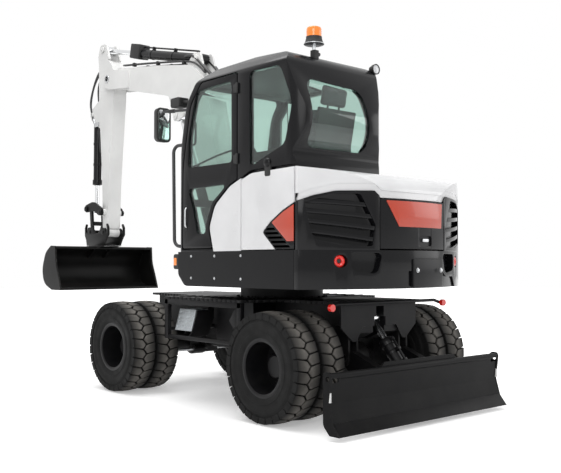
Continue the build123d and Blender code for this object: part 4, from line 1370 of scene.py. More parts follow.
# ---- cab ----------------------------------------------------------------
@dataclass
class Cab:
    """Hollow cab from its side, front and plan outlines, with door and glazing."""

    wall: float = 45.0
    pane: float = 6.0
    pane_depth: float = 12.0
    face: float = 920.0
    right: float = -80.0
    base: float = 1262.0
    rear_floor: float = 1690.0
    door_gap: float = 12.0

    @property
    def side(self) -> Rounded:
        """Side outline (x, z)."""
        return [
            (35, self.base), (30, 1950, 600), (-75, 2470, 300), (-290, 2725, 220), (-800, 2748),
            (-1265, 2705, 150), (-1470, 2190, 320), (-1340, 1955, 50), (-1380, 1885),
            (-1380, self.rear_floor), (-600, self.rear_floor, 60), (-462, 1625, 120),
            (-389, 1450, 120), (-440, self.base),
        ]

    @property
    def sill(self) -> Rounded:
        """Edge (x, z) of the side covers, which lie against the cab's left wall."""
        low = self.base - 1
        return [
            (-440, low), (-389, 1450, 120), (-462, 1625, 160), (-650, 1762, 200), (-905, 1862, 100),
            (-1440, 1868), (-1440, low),
        ]

    @property
    def front(self) -> Rounded:
        """Front outline (y, z)."""
        return [
            (self.right, self.base - 1), (self.face, self.base - 1), (self.face, 2630, 50),
            (760, 2770, 150), (70, 2770, 150), (self.right, 2630, 50),
        ]

    @property
    def plan(self) -> Rounded:
        """Plan outline (x, y)."""
        return [
            (40, self.right, 60), (40, self.face, 60), (-1470, self.face, 178),
            (-1470, self.right, 340)
        ]

    door_view = [
        (-32, 1290, 20), (-36, 1950, 600), (-140, 2455, 200), (-285, 2615, 60), (-735, 2615, 20),
        (-735, 1807), (-645, 1772, 200), (-453, 1633, 155), (-378, 1449, 115), (-425, 1290, 15),
    ]
    door_panes = (
        [(-105, 1945, 30), (-108, 2200, 300), (-215, 2555, 60), (-668, 2568, 40), (-672, 1940, 30)],
        [
            (-98, 1772, 30), (-625, 1780, 20), (-425, 1645, 150), (-335, 1450, 110),
            (-350, 1400, 30), (-228, 1405, 30), (-165, 1620, 100)
        ],
    )
    quarter = [
        (-885, 2600, 40), (-1235, 2590, 90), (-1352, 2310, 220), (-1280, 2020, 80), (-890, 1885, 30)
    ]
    right_window = [
        (-110, 1640, 60), (-140, 2440, 60), (-270, 2590, 60), (-1150, 2590, 80), (-1200, 2080, 60),
        (-700, 1900, 150), (-520, 1640, 80),
    ]
    screens = (
        [(-20, 1700, 50), (860, 1700, 50), (840, 2590, 60), (0, 2590, 60)],
        [(-10, 1340, 40), (850, 1340, 40), (860, 1640, 40), (-20, 1640, 40)],
    )
    rear_window = [(190, 2000, 70), (800, 1995, 70), (790, 2500, 90), (215, 2475, 90)]

    def volume(self, inset: float) -> Piece:
        """Cab's volume, its three outlines inset together."""
        view = slab("side", shrunk(self.side, inset), Axis.Y, -150, 1000)
        face = slab("front", shrunk(self.front, inset), Axis.X, -1500, 100)
        return common(view, face, slab("plan", shrunk(self.plan, inset), Axis.Z, 1000, 3000))

    def shell(self) -> Piece:
        """Walls and roof."""
        return carved(self.volume(0), self.volume(self.wall))

    def windows(self, grow: float = 0.0) -> list[Piece]:
        """Cutters of the fixed windows."""
        deep = self.face - self.wall - 7
        return [
            slab("quarter", shrunk(self.quarter, -grow), Axis.Y, deep, 1000),
            slab("right", shrunk(self.right_window, -grow), Axis.Y, -200, 0),
            slab("screen", shrunk(self.screens[0], -grow), Axis.X, -300, 100),
            slab("lower", shrunk(self.screens[1], -grow), Axis.X, -100, 100),
            slab("rear", shrunk(self.rear_window, -grow), Axis.X, -1500, -1200),
        ]

    def panes(self, cutters: Sequence[Piece]) -> list[Piece]:
        """Glass that follows the cab's surface inside each cutter."""
        made = []
        for cutter in cutters:
            layer = carved(self.volume(self.pane_depth), self.volume(self.pane_depth + self.pane))
            made.append(eased(common(layer, cutter), 0.001, 1))
        return made

    def frame(self) -> None:
        """Cab's frame with its openings, and the fixed glass."""
        deep = self.face - self.wall - 7
        gap = slab("gap", shrunk(self.door_view, -self.door_gap), Axis.Y, deep, 1175)
        sill = slab("sill", self.sill, Axis.Y, self.face - 37, 1000)
        frame = carved(self.shell(), gap, sill, *self.windows())
        dress(eased(frame, 0.005, 3), "upper", Palette.cab, ["cab_frame"], name="cab_shell")
        glass = joined("cab_fixed_glass", self.panes(self.windows()))
        dress(glass, "upper", Palette.glass, ["cab_glass"])

    def door(self) -> None:
        """Door and its two panes."""
        inner = self.face - self.wall
        door = common(self.shell(), slab("door", self.door_view, Axis.Y, inner, 1000))
        cutters = [slab("pane", view, Axis.Y, inner - 7, 1000) for view in self.door_panes]
        door = carved(door, *cutters)
        dress(eased(door, 0.005, 3), "cab_door", Palette.cab, ["cab_door"], name="cab_door_frame")
        views = [slab("pane", view, Axis.Y, inner - 7, 1000) for view in self.door_panes]
        dress(
            joined("cab_door_panes", self.panes(views)), "cab_door", Palette.glass,
            ["cab_door_glass"]
        )

    def build(self) -> None:
        """Make the frame and the door."""
        self.frame()
        self.door()


# ---- lamps, mirror and beacon -------------------------------------------
@dataclass
class Lamps:
    """Beacon, work lamps, turn lamps and the mirror's glass."""

    beacon: Corner = (-1210.0, 563.0)
    rear_lamp: tuple[float, float, float] = (-1250.0, -60.0, 2704.0)

    def beacon_lamp(self) -> None:
        """Orange dome on a black cone and steel disc, clamped to a post."""
        x, y = self.beacon
        up, foot = Vector((0, 0, 1)), at(x * MM, y * MM, 0)
        lens = [
            (2.858, 0.0), (2.858, 0.057), (2.866, 0.058), (2.874, 0.056), (2.882, 0.058),
            (2.890, 0.056), (2.898, 0.058), (2.906, 0.056), (2.916, 0.057), (2.928, 0.052),
            (2.934, 0.042), (2.9345, 0.0)
        ]
        dress(standing(lathe("beacon_lens", lens, 40), up, foot), "upper", Palette.orange)
        cone = [
            (2.810, 0.0), (2.810, 0.068), (2.816, 0.070), (2.822, 0.067), (2.848, 0.060),
            (2.859, 0.060), (2.859, 0.0)
        ]
        base = standing(lathe("beacon_cone", cone, 40), up, foot)
        clamp = brick("clamp", (x - 24, x + 24), (y - 30, y + 18), (2690, 2760), 0.005)
        knob = stick("knob", (x, y - 26, 2735), (x, y - 56, 2735), 14, 16, 0.002)
        dress(joined("beacon_base", [base, clamp, knob]), "upper", Palette.seal, ["beacon"])
        disc = [
            (2.800, 0.0), (2.800, 0.072), (2.803, 0.077), (2.807, 0.077), (2.8105, 0.072),
            (2.8105, 0.0)
        ]
        plate_disc = standing(lathe("beacon_disc", disc, 40), up, foot)
        post = stick("post", (x, y, 2640), (x, y, 2802), 14, 20)
        dress(joined("beacon_post", [plate_disc, post]), "upper", Palette.steel)

    def round_lamp(self) -> None:
        """Round work lamp with a deep body, bezel and clear lens, facing backwards."""
        x, y, z = (value * MM for value in self.rear_lamp)
        section = [
            (-0.040, 0.0), (-0.040, 0.016), (-0.030, 0.019), (-0.028, 0.030), (-0.006, 0.033),
            (0.0, 0.040), (0.026, 0.042), (0.029, 0.039), (0.024, 0.036), (0.018, 0.033),
            (0.018, 0.0)
        ]
        back = Vector((-1, 0, 0))
        head = standing(lathe("head", section, 32), back, at(x, y, z))
        route = [(-1.235, 0.05, 2.62), (-1.24, 0.03, 2.65), (x, y, z - 0.05), (x, y, z - 0.03)]
        stalk = tube("stalk", [at(*point) for point in route], 0.008)
        foot = brick("foot", (-1262, -1222), (34, 76), (2610, 2640), 0.004)
        dress(joined("rear_work_lamp", [head, stalk, foot]), "upper", Palette.seal)
        lens = [(0.019, 0.0), (0.019, 0.034), (0.023, 0.034), (0.027, 0.024), (0.028, 0.0)]
        dress(
            standing(lathe("rear_work_lamp_lens", lens, 32), back, at(x, y, z)), "upper",
            Palette.clear
        )

    def front_lamps(self) -> None:
        """Box lamp on the front pillar and the turn lamps at the bands' front ends."""
        view = [(60, 2480, 20), (190, 2480, 20), (190, 2560, 20), (60, 2560, 20)]
        head = slab("head", view, Axis.Y, 800, 900, 0.006)
        arm = stick("arm", (-110, 850, 2500), (70, 850, 2520), 12, 16)
        ribs = [
            brick("rib", (56, 62), (808, 892), (z, z + 5), 0.001) for z in range(2490, 2552, 10)
        ]
        pieces = [head, arm, *ribs]
        body = [(35, 1120), (108, 1120, 20), (108, 1245, 20), (35, 1245)]
        pieces += [slab("turn", body, Axis.Y, *mirrored(side, 830, 918), 0.006) for side in Side]
        dress(joined("front_lamp_bodies", pieces), "upper", Palette.seal, ["work_lamps"])
        lens = brick("front_work_lamp_lens", (186, 193), (812, 888), (2490, 2550), 0.002)
        dress(lens, "upper", Palette.clear)
        lenses = []
        view = [(60, 1150, 8), (104, 1150, 12), (104, 1214, 12), (60, 1214, 8)]
        for side in Side:
            lenses.append(slab("lens", view, Axis.Y, *mirrored(side, 846, 919), 0.004))
            lenses.append(brick("lens", (100, 111), mirrored(side, 842, 906), (1148, 1216), 0.004))
        dress(joined("turn_lamp_lenses", lenses), "upper", Palette.orange)

    def mirror_glass(self) -> None:
        """Mirror glass in the head's back, its rim and its joint."""
        face = [(824, 2226, 28), (936, 2226, 28), (936, 2484, 28), (824, 2484, 28)]
        dress(slab("mirror_glass", face, Axis.X, 316, 322, 0.001), "upper", Palette.mirror)
        edge = [(808, 2208, 40), (952, 2208, 40), (952, 2502, 40), (808, 2502, 40)]
        rim = carved(slab("rim", edge, Axis.X, 314, 330), slab("hole", face, Axis.X, 310, 335))
        joint = stick("joint", (330, 880, 2440), (330, 880, 2500), 18, 20, 0.003)
        boot = stick("boot", (150, 880, 2453), (240, 880, 2461), 16, 20, 0.003)
        dress(joined("mirror_rim", [eased(rim, 0.002, 2), joint, boot]), "upper", Palette.seal)

    def build(self) -> None:
        """Make every lamp and the mirror's glass."""
        self.beacon_lamp()
        self.round_lamp()
        self.front_lamps()
        self.mirror_glass()


# ---- undercarriage ------------------------------------------------------
@dataclass
class Undercarriage:
    """Toothed deck, open step frames and folded steps between the wheels."""

    top: float = 882.0
    under: float = 860.0
    edge_y: float = 780.0
    front: float = 440.0
    rear: float = -610.0
    frame_half: float = 260.0
    pitch: float = 60.0
    tooth: float = 9.0
    step_x: Corner = (110.0, 350.0)
    ring_x: float = -0.22
    ring_radius: float = 0.386
    ring_bolts: int = 28

    def toothed(self, points: Sequence[Corner]) -> list[Corner]:
        """Outline with grip notches cut along every edge."""
        middle = sum((Vector(point) for point in points), Vector((0, 0))) / len(points)
        made: list[Corner] = []
        for i, point in enumerate(points):
            start, end = Vector(point), Vector(points[(i + 1) % len(points)])
            along = (end - start).normalized()
            inward = Vector((-along.y, along.x))
            if inward.x * (middle.x - start.x) - inward.y * start.y < 0:
                inward = -inward
            made.append(tuple(start))
            for notch in range(1, int((end - start).length / self.pitch)):
                for step, depth in ((-0.25, 0), (0, self.tooth), (0.25, 0)):
                    made.append(tuple(start + along * (notch + step) * self.pitch + inward * depth))
        return made

    def deck(self) -> None:
        """Tread deck over the frame."""
        rear, front, edge = self.rear, self.front, self.edge_y
        half = [
            (-1400, 430), (rear - 120, 430), (rear, edge), (front, edge), (560, 430), (1330, 330)
        ]
        plan = half + [(x, -y) for x, y in reversed(half)]
        deck = slab("deck_plate", self.toothed(plan), Axis.Z, self.under, self.top, 0.002)
        bars = []
        for i in range(9):
            x = rear + 110 + 108 * i
            for side in Side:
                bars.append(
                    brick(
                        "grip", (x, x + 16), mirrored(side, 500, 740), (self.top - 2, self.top + 5),
                        0.002
                    )
                )
        dress(joined("deck_plate", [deck, *bars]), "root", Palette.chassis, ["deck"])

    def side_frames(self) -> None:
        """Open frames: posts, top rail, lower round rail, gusset and step end."""
        pieces = []
        for side in Side:
            sign, across = side.value, mirrored(side, self.edge_y - 40, self.edge_y)
            for x in (self.front - 50, self.rear):
                pieces.append(brick("post", (x, x + 50), across, (520, self.under), 0.004))
            pieces.append(
                brick("rail", (self.rear, self.front), across, (self.under - 45, self.under), 0.004)
            )
            y = sign * (self.edge_y - 20)
            pieces.append(stick("rail", (self.rear, y, 538), (self.front, y, 538), 18, 20, 0.002))
            for x in (self.rear + 20, self.front - 20):
                pieces.append(
                    stick("tie", (x, sign * (self.frame_half + 1), 600), (x, y, 600), 18, 20)
                )
            x = self.rear + 49
            gusset = [(x, 805), (x, 700), (-498, 650), (-440, 712), (-520, 816), (-555, 816)]
            pieces.append(
                slab(
                    "gusset", gusset, Axis.Y, *mirrored(side, self.edge_y - 30, self.edge_y - 20),
                    0.002
                )
            )
            end = [
                (500, 860), (540, 860), (560, 767), (672, 767), (726, 590), (760, 556), (760, 538),
                (560, 552), (500, 700)
            ]
            pieces.append(
                slab(
                    "end", [(sign * y, z) for y, z in end], Axis.X, self.step_x[0] - 10,
                    self.step_x[0], 0.002
                )
            )
        dress(joined("step_frames", pieces), "root", Palette.chassis, ["side_frames"])

    slots = (
        (540, 780, 565, 780), (590, 780, 615, 780), (640, 780, 665, 780), (712, 742, 706, 762),
        (724, 704, 718, 724), (736, 664, 730, 684), (746, 626, 740, 646),
    )

    def steps(self) -> None:
        """Galvanised steps folded from slotted plate, with a web at each end."""
        pieces = []
        low, high = self.step_x
        for side in Side:
            sign = side.value
            fold = [(500, 775), (680, 775), (735, 594), (727, 592), (674, 767), (500, 767)]
            step = slab("step", [(sign * y, z) for y, z in fold], Axis.X, low, high)
            cutters = []
            for y0, z0, y1, z1 in self.slots:
                for x in (low + 22, low + 132):
                    view = [(y0, z0), (y1, z1), (y1 - 24, z1 - 12), (y0 - 24, z0 - 12)]
                    cutters.append(
                        slab("slot", [(sign * y, z) for y, z in view], Axis.X, x, x + 88)
                    )
            pieces.append(eased(carved(step, *cutters), 0.0015, 1))
            for x in (low, high - 6):
                web = [(500, 770), (676, 770), (728, 600), (700, 600), (640, 690), (500, 700)]
                pieces.append(slab("web", [(sign * y, z) for y, z in web], Axis.X, x, x + 6, 0.001))
        dress(joined("folded_steps", pieces), "root", Palette.galvanised, ["step_treads"])

    def bolts(self) -> None:
        """Bolts round the slew ring."""
        moves = []
        for i in range(self.ring_bolts):
            turn = math.tau * i / self.ring_bolts
            x = self.ring_x + self.ring_radius * math.cos(turn)
            y = self.ring_radius * math.sin(turn)
            moves.append(facing(Vector((0, 0, 1)), at(x, y, self.top * MM)))
        dress(spread("slew_ring_bolts", hex_bolt(0.011, 0.009), moves), "root", Palette.chassis)

    def build(self) -> None:
        """Make the deck, the frames, the steps and the bolts."""
        self.deck()
        self.side_frames()
        self.steps()
        self.bolts()


# ---- blade and bucket trim ----------------------------------------------
@dataclass
class BladeTrim:
    """Cutting edge, reflectors and eye ring of the dozer blade."""

    x: float = -1850.0
    half: float = 946.0
    low: float = 35.0

    def build(self) -> None:
        """Make the edge, the reflectors and the ring."""
        x, half = self.x, self.half
        strip = [(x + 1, self.low + 1), (x + 10, self.low + 1), (x + 70, 112), (x + 60, 118)]
        dress(slab("blade_cutting_edge", strip, Axis.Y, -half, half, 0.002), "blade", Palette.blade)
        ahead, across = (x + 86, x + 108), (half - 2, half + 13.5)
        plates = [brick("reflector", ahead, mirrored(side, *across), (250, 318), 0.001)
                  for side in Side]
        dress(joined("blade_reflectors", plates), "blade", Palette.reflector)
        ring = carved(stick("rim", (x + 108, 940, 405), (x + 108, 958, 405), 30, 32),
                      stick("hole", (x + 108, 930, 405), (x + 108, 970, 405), 19, 32))
        dress(eased(ring, 0.002, 2), "blade", Palette.blade, name="blade_eye_ring")


@dataclass
class BucketTrim:
    """Wear edges, side cutters, bolts and quick coupler of the bucket."""

    half: float = 630.0

    def build(self) -> None:
        """Make the lip, the side cutters, the bolts and the coupler."""
        half = self.half
        lip = slab(
            "lip", [(2688, 876), (2800, 876), (2800, 901), (2700, 901)], Axis.Y, 8 - half, half - 8,
            0.002
        )
        pieces = [lip]
        cutter = [
            (2690, 884), (2742, 1010, 300), (2817, 1180, 300), (2830, 1350), (2870, 1350),
            (2860, 1180, 300), (2790, 1010, 300), (2745, 884)
        ]
        pieces += [
            slab("cutter", cutter, Axis.Y, *mirrored(side, half - 20, half - 13), 0.001)
            for side in Side
        ]
        dress(joined("bucket_wear_edges", pieces), "bucket", Palette.tool)
        moves = []
        for y in (-0.03, 0.07):
            moves.append(facing(Vector((-1, 0, 0)), at(3.1065, y, 1.11)))
        for z in (1.13, 1.08):
            moves.append(facing(Vector((-1, 0, 0)), at(3.1065, -0.42, z)))
        dress(spread("bucket_bolts", hex_bolt(0.008, 0.004), moves), "bucket", Palette.steel)
        hook = [
            (2672, 1374), (3068, 1374), (3084, 1440, 30), (3114, 1490, 20), (3117, 1580, 20),
            (3090, 1626), (3078, 1616), (3093, 1565), (3087, 1528), (3056, 1520), (3056, 1586, 30),
            (2944, 1586, 40), (2850, 1480, 60), (2752, 1570, 50), (2650, 1570, 30), (2644, 1512),
            (2618, 1524), (2608, 1562), (2628, 1608), (2616, 1618), (2584, 1576, 20),
            (2582, 1494, 20), (2630, 1440, 30),
        ]
        hooks = [slab("hook", hook, Axis.Y, *mirrored(side, 89, 111), 0.002) for side in Side]
        hooks.append(stick("pin", (3000, -118, 1535), (3000, 118, 1535), 20, 24, 0.002))
        hooks.append(stick("pin", (2700, -118, 1520), (2700, 118, 1520), 24, 24, 0.002))
        hooks.append(brick("bridge", (2700, 3060), (-89, 89), (1372, 1392), 0.002))
        dress(joined("quick_coupler", hooks), "bucket", Palette.tool, ["coupler"])


# ---- hydraulics ---------------------------------------------------------
@dataclass(frozen=True)
class Ram:
    """One cylinder in millimetres.

    Attributes:
        name: Name of the joint that it drives.
        foot: Place (x, z) of its foot.
        eye: Place (x, z) of its rod's eye at rest.
        barrel: Radius of the barrel.
        rod: Radius of the rod.
        end: Length from the foot to the gland.
        above: 1 when the oil line lies over the barrel, -1 under it.
        guard: Length of a guard over the gland, or 0.
    """

    name: str
    foot: Corner
    eye: Corner
    barrel: float
    rod: float
    end: float
    above: int
    guard: float = 0.0


@dataclass
class Hydraulics:
    """Glands, ports, oil lines, pins and hoses."""

    rams = (
        Ram("boom", (600, 1060), (1300, 2660), 55, 32, 1160, -1),
        Ram("arm", (950, 3190), (2770, 3620), 50, 28, 1300, 1, 190),
        Ram("bucket", (3020, 2900), (3030, 1800), 46, 26, 812, -1),
        Ram("blade", (-1672, 255), (-1270, 750), 46, 26, 420, 1),
    )
    boom_fan: float = 0.78
    arm_fan: float = 3.1

    def lay(self, ram: Ram, piece: Piece) -> Piece:
        """Piece built along +X from the origin, laid on the ram's line."""
        foot, eye = Vector((ram.foot[0], 0, ram.foot[1])), Vector((ram.eye[0], 0, ram.eye[1]))
        turn = math.atan2(eye.z - foot.z, eye.x - foot.x)
        piece.data.transform(
            Matrix.Translation(at(foot.x * MM, 0, foot.z * MM)) @ Matrix.Rotation(-turn, 4, "Y")
        )
        return piece

    def local(
        self, start: Sequence[float], end: Sequence[float], radius: float, edge: float = 0.0015
    ) -> Piece:
        """Round bar in a ram's own millimetres."""
        return rod("bar", Vector(start) * MM, Vector(end) * MM, radius * MM, 24, edge)

    def barrel(self, ram: Ram) -> None:
        """Gland ring, ports, clamps and the fixed oil line of one barrel."""
        port = ram.above * (ram.barrel + 24)
        near, far = ram.rod + 62, ram.end - 30
        pieces = [self.local((ram.end - 58, 0, 0), (ram.end - 2, 0, 0), ram.barrel + 9)]
        pieces.append(self.local((ram.end - 2, 0, 0), (ram.end + 6, 0, 0), ram.rod + 10))
        for x in (near, far):
            pieces.append(
                self.local((x, 0, ram.above * (ram.barrel - 8)), (x, 0, port + ram.above * 6), 15)
            )
        pieces.append(self.local((near, 0, port), (far, 0, port), 9))
        for share in (0.35, 0.7):
            x = near + (far - near) * share
            band = self.local((x - 14, 0, 0), (x + 14, 0, 0), ram.barrel + 4)
            clip = box("clip", Vector((x - 14, -16, min(0, port + ram.above * 12))) * MM,
                       Vector((x + 14, 16, max(0, port + ram.above * 12))) * MM, 0.003)
            pieces += [band, clip]
        made = self.lay(ram, joined(f"{ram.name}_ram_fittings", pieces))
        dress(made, f"{ram.name}_barrel", Palette.ram)
        if ram.guard:
            low, high = Vector(
                (ram.end - ram.guard, -70, -ram.barrel - 8)
            ), Vector((ram.end - 4, 70, 98))
            cover = box("cover", low * MM, high * MM, 0.012)
            dress(self.lay(ram, cover), f"{ram.name}_barrel", Palette.seal, name="arm_ram_guard")

    def pins(self) -> None:
        """Turned pin heads with grease nipples, on both sides of every big joint."""
        places = (
            ("boom", 2600, 3250, 126, 44, Palette.steel),
            ("boom", 1300, 2660, 88, 34, Palette.boom), ("boom", 950, 3190, 86, 32, Palette.boom),
            ("arm", 2770, 3620, 90, 34, Palette.boom), ("arm", 3020, 2900, 80, 30, Palette.boom),
            ("rocker", 2710, 1745, 145, 32, Palette.tool),
            ("rocker", 3030, 1800, 145, 30, Palette.tool),
            ("swing_post", 470, 1340, 156, 46, Palette.tool),
        )
        for i, (body, x, z, y, radius, finish) in enumerate(places):
            heads = []
            for sign in (1, -1):
                heads.append(
                    stick("head", (x, sign * (y - 4), z), (x, sign * (y + 8), z), radius, 32, 0.003)
                )
                heads.append(
                    stick("grease", (x, sign * (y + 6), z), (x, sign * (y + 15), z), 6, 12, 0.001)
                )
            dress(joined(f"pin_heads_{body}_{i}", heads), body, finish)

    @staticmethod
    def widened(y: float) -> float:
        """Place in Y of an arm hose below its fan, clear of the bucket cylinder."""
        return math.copysign(40 + abs(y) * 0.85, y)

    def hoses(self) -> None:
        """Hoses clamped along the boom and the arm, each run fixed to one body."""
        boom = []
        for y in (-40, -14, 14, 40):
            line = [
                (0.66, 2.78), (0.70, 2.93), (0.80, 3.06), (0.97, 3.20), (1.05, 3.24), (1.14, 3.235)
            ]
            wide = math.copysign(60 + abs(y) * 0.6, y)
            boom.append(
                tube(
                    "hose", [at(x, (y if x < self.boom_fan else wide) * MM, z) for x, z in line],
                    0.0125
                )
            )
        for y in (-92, -74, 74, 92):
            line = [
                (0.80, 3.02), (0.92, 3.13), (1.10, 3.185), (1.50, 3.245), (1.95, 3.31),
                (2.30, 3.355)
            ]
            boom.append(tube("pipe", [at(x, y * MM, z) for x, z in line], 0.009))
        dress(joined("boom_hoses", boom), "boom", Palette.hose)
        clips = []
        for x, z in ((1150, 3190), (1620, 3263), (2080, 3330)):
            for side in Side:
                clips.append(
                    brick(
                        "clip", (x - 16, x + 16), mirrored(side, 68, 106), (z - 26, z + 12), 0.003
                    )
                )
        dress(joined("boom_pipe_clips", clips), "boom", Palette.seal)
        arm = []
        for y, bow in ((46, 0.10), (24, 0.145), (-24, 0.145), (-46, 0.10)):
            line = [
                (2.80, 3.39), (2.88, 3.43), (2.93 + bow, 3.28), (2.965 + bow, 3.04),
                (2.99 + bow * 0.3, 2.90), (2.965, 2.80)
            ]
            wide = self.widened(y)
            arm.append(
                tube(
                    "hose", [at(x, (y if z > self.arm_fan else wide) * MM, z) for x, z in line],
                    0.0115
                )
            )
        for y in (62, -62):
            line = [(2.87, 3.0), (2.905, 2.95), (2.88, 2.6), (2.85, 2.45)]
            arm.append(tube("pipe", [at(x, y * MM, z) for x, z in line], 0.008))
        dress(joined("arm_hoses", arm), "arm", Palette.hose)
        ends = []
        for y in (46, 24, -24, -46):
            ends.append(stick("end", (2790, y, 3375), (2822, y, 3405), 17, 6, 0.002))
            wide = self.widened(y)
            ends.append(stick("end", (2978, wide, 2850), (2962, wide, 2790), 12, 6, 0.002))
        blocks = [
            brick("block", (2858, 2950), mirrored(side, 51, 90), (2750, 2800), 0.006)
            for side in Side
        ]
        dress(joined("arm_hose_ends", [*ends, *blocks]), "arm", Palette.steel)

    def build(self) -> None:
        """Dress every cylinder, pin and hose run."""
        for ram in self.rams:
            self.barrel(ram)
        self.pins()
        self.hoses()


# ---- cab fittings -------------------------------------------------------
@dataclass
class CabFittings:
    """Handles, catches, hinges, wiper, roof lining and controls of the cab."""

    face: float = 920.0

    def door_handle(self) -> None:
        """Recessed pull handle near the door's lower front corner."""
        cup = [(-58, 1640, 12), (-58, 1440, 12), (-96, 1440, 12), (-96, 1640, 12)]
        frame = carved(slab("cup", cup, Axis.Y, self.face - 4, self.face + 3),
                       slab("hole", shrunk(cup, 6), Axis.Y, self.face - 1, self.face + 9))
        dress(eased(frame, 0.0015, 2), "cab_door", Palette.seal, name="door_handle_cup")
        line = [(-2, 1618), (10, 1612), (12, 1590), (12, 1490), (10, 1468), (-2, 1462)]
        route = [at(-80 * MM, (self.face + out) * MM, z * MM) for out, z in line]
        dress(tube("door_pull", route, 0.008), "cab_door", Palette.steel)

    def latches(self) -> None:
        """Round catch on the pillar's foot and the door's two hinges."""
        cap = [
            (0.0, 0.0), (0.0, 0.034), (0.010, 0.036), (0.020, 0.030), (0.026, 0.018), (0.028, 0.0)
        ]
        catch = standing(
            lathe("pillar_catch", cap, 32), Vector((0, 1, 0)), at(-1.09, (self.face - 6) * MM, 1.90)
        )
        dress(catch, "upper", Palette.gloss)
        foot = [(-1125, 1895, 14), (-1060, 1895, 14), (-1060, 1800, 14), (-1125, 1800, 14)]
        dress(slab("catch_base", foot, Axis.Y, 905, 922, 0.003), "upper", Palette.seal)
        hinges = []
        for z in (1960, 2500):
            hinges.append(
                stick(
                    "hinge", (-744, self.face + 6, z - 40), (-744, self.face + 6, z + 40), 11, 20,
                    0.002
                )
            )
            hinges.append(
                brick("leaf", (-744, -700), (self.face - 2, self.face + 6), (z - 32, z + 32), 0.002)
            )
        dress(joined("cab_door_hinges", hinges), "cab_door", Palette.seal)

    def wiper(self) -> None:
        """Wiper on the windscreen and the grab handles inside the door."""
        reach = [(-0.005, 0.40, 1.70), (0.012, 0.42, 1.80), (0.0, 0.30, 2.05), (-0.02, 0.22, 2.28)]
        wipe = [(0.004, 0.26, 1.98), (-0.008, 0.22, 2.20), (-0.045, 0.18, 2.45)]
        arm = tube("arm", [at(*point) for point in reach], 0.007)
        blade = tube("blade", [at(*point) for point in wipe], 0.009)
        dress(joined("wiper", [arm, blade]), "upper", Palette.seal)
        loop = [(-40, 2330), (-120, 2335), (-128, 2300), (-128, 2170), (-118, 2135), (-40, 2140)]
        rail = [(-110, 1960), (-300, 2000), (-520, 2035), (-690, 2050)]
        handles = [tube("handle", [at(x * MM, 862 * MM, z * MM) for x, z in line], radius)
                   for line, radius in ((loop, 0.009), (rail, 0.008))]
        dress(joined("inner_grab_handles", handles), "cab_door", Palette.seal)

    def headliner(self) -> None:
        """Roof lining with its drooping front and rear edges."""
        view = [
            (-240, 2650, 30), (-250, 2560, 20), (-300, 2600, 20), (-1180, 2620, 30),
            (-1240, 2560, 20), (-1270, 2640, 30), (-800, 2696, 300)
        ]
        dress(slab("roof_lining", view, Axis.Y, 0, 840, 0.004), "upper", Palette.plastic)

    def controls(self) -> None:
        """Lever grips with buttons, a monitor on the right pillar and ribbed boots."""
        pieces, tops = [], []
        for y in (125, 715):
            grip = [
                (-0.012, 0.0), (-0.012, 0.022), (0.02, 0.019), (0.055, 0.023), (0.095, 0.026),
                (0.12, 0.022), (0.128, 0.0)
            ]
            pieces.append(
                standing(lathe("grip", grip, 24), Vector((0.12, 0, 1)), at(-0.665, y * MM, 2.12))
            )
            boot = [
                (0.0, 0.0), (0.0, 0.052), (0.012, 0.052), (0.016, 0.044), (0.026, 0.046),
                (0.030, 0.037), (0.040, 0.039), (0.044, 0.030), (0.056, 0.026), (0.056, 0.0)
            ]
            pieces.append(
                standing(lathe("boot", boot, 32), Vector((0, 0, 1)), at(-0.66, y * MM, 2.018))
            )
            tops.append(stick("button", (-655, y, 2246), (-654, y, 2252), 7, 12, 0.001))
        pieces.append(box("monitor", at(-0.30, 0.02, 2.02), at(-0.26, 0.20, 2.16), 0.012))
        pieces.append(stick("stem", (-280, 40, 1900), (-280, 80, 2030), 10, 16))
        dress(joined("lever_grips", pieces), "upper", Palette.seal)
        # The buttons take the red lens finish, whose glow is painted light on them, as they are no
        # lamp.
        dress(joined("lever_buttons", tops), "upper", Palette.red)
        screen = box("monitor_screen", at(-0.3025, 0.032, 2.032), at(-0.2995, 0.188, 2.148), 0.001)
        dress(screen, "upper", Palette.gloss)

    def build(self) -> None:
        """Fit out the cab."""
        self.door_handle()
        self.latches()
        self.wiper()
        self.headliner()
        self.controls()


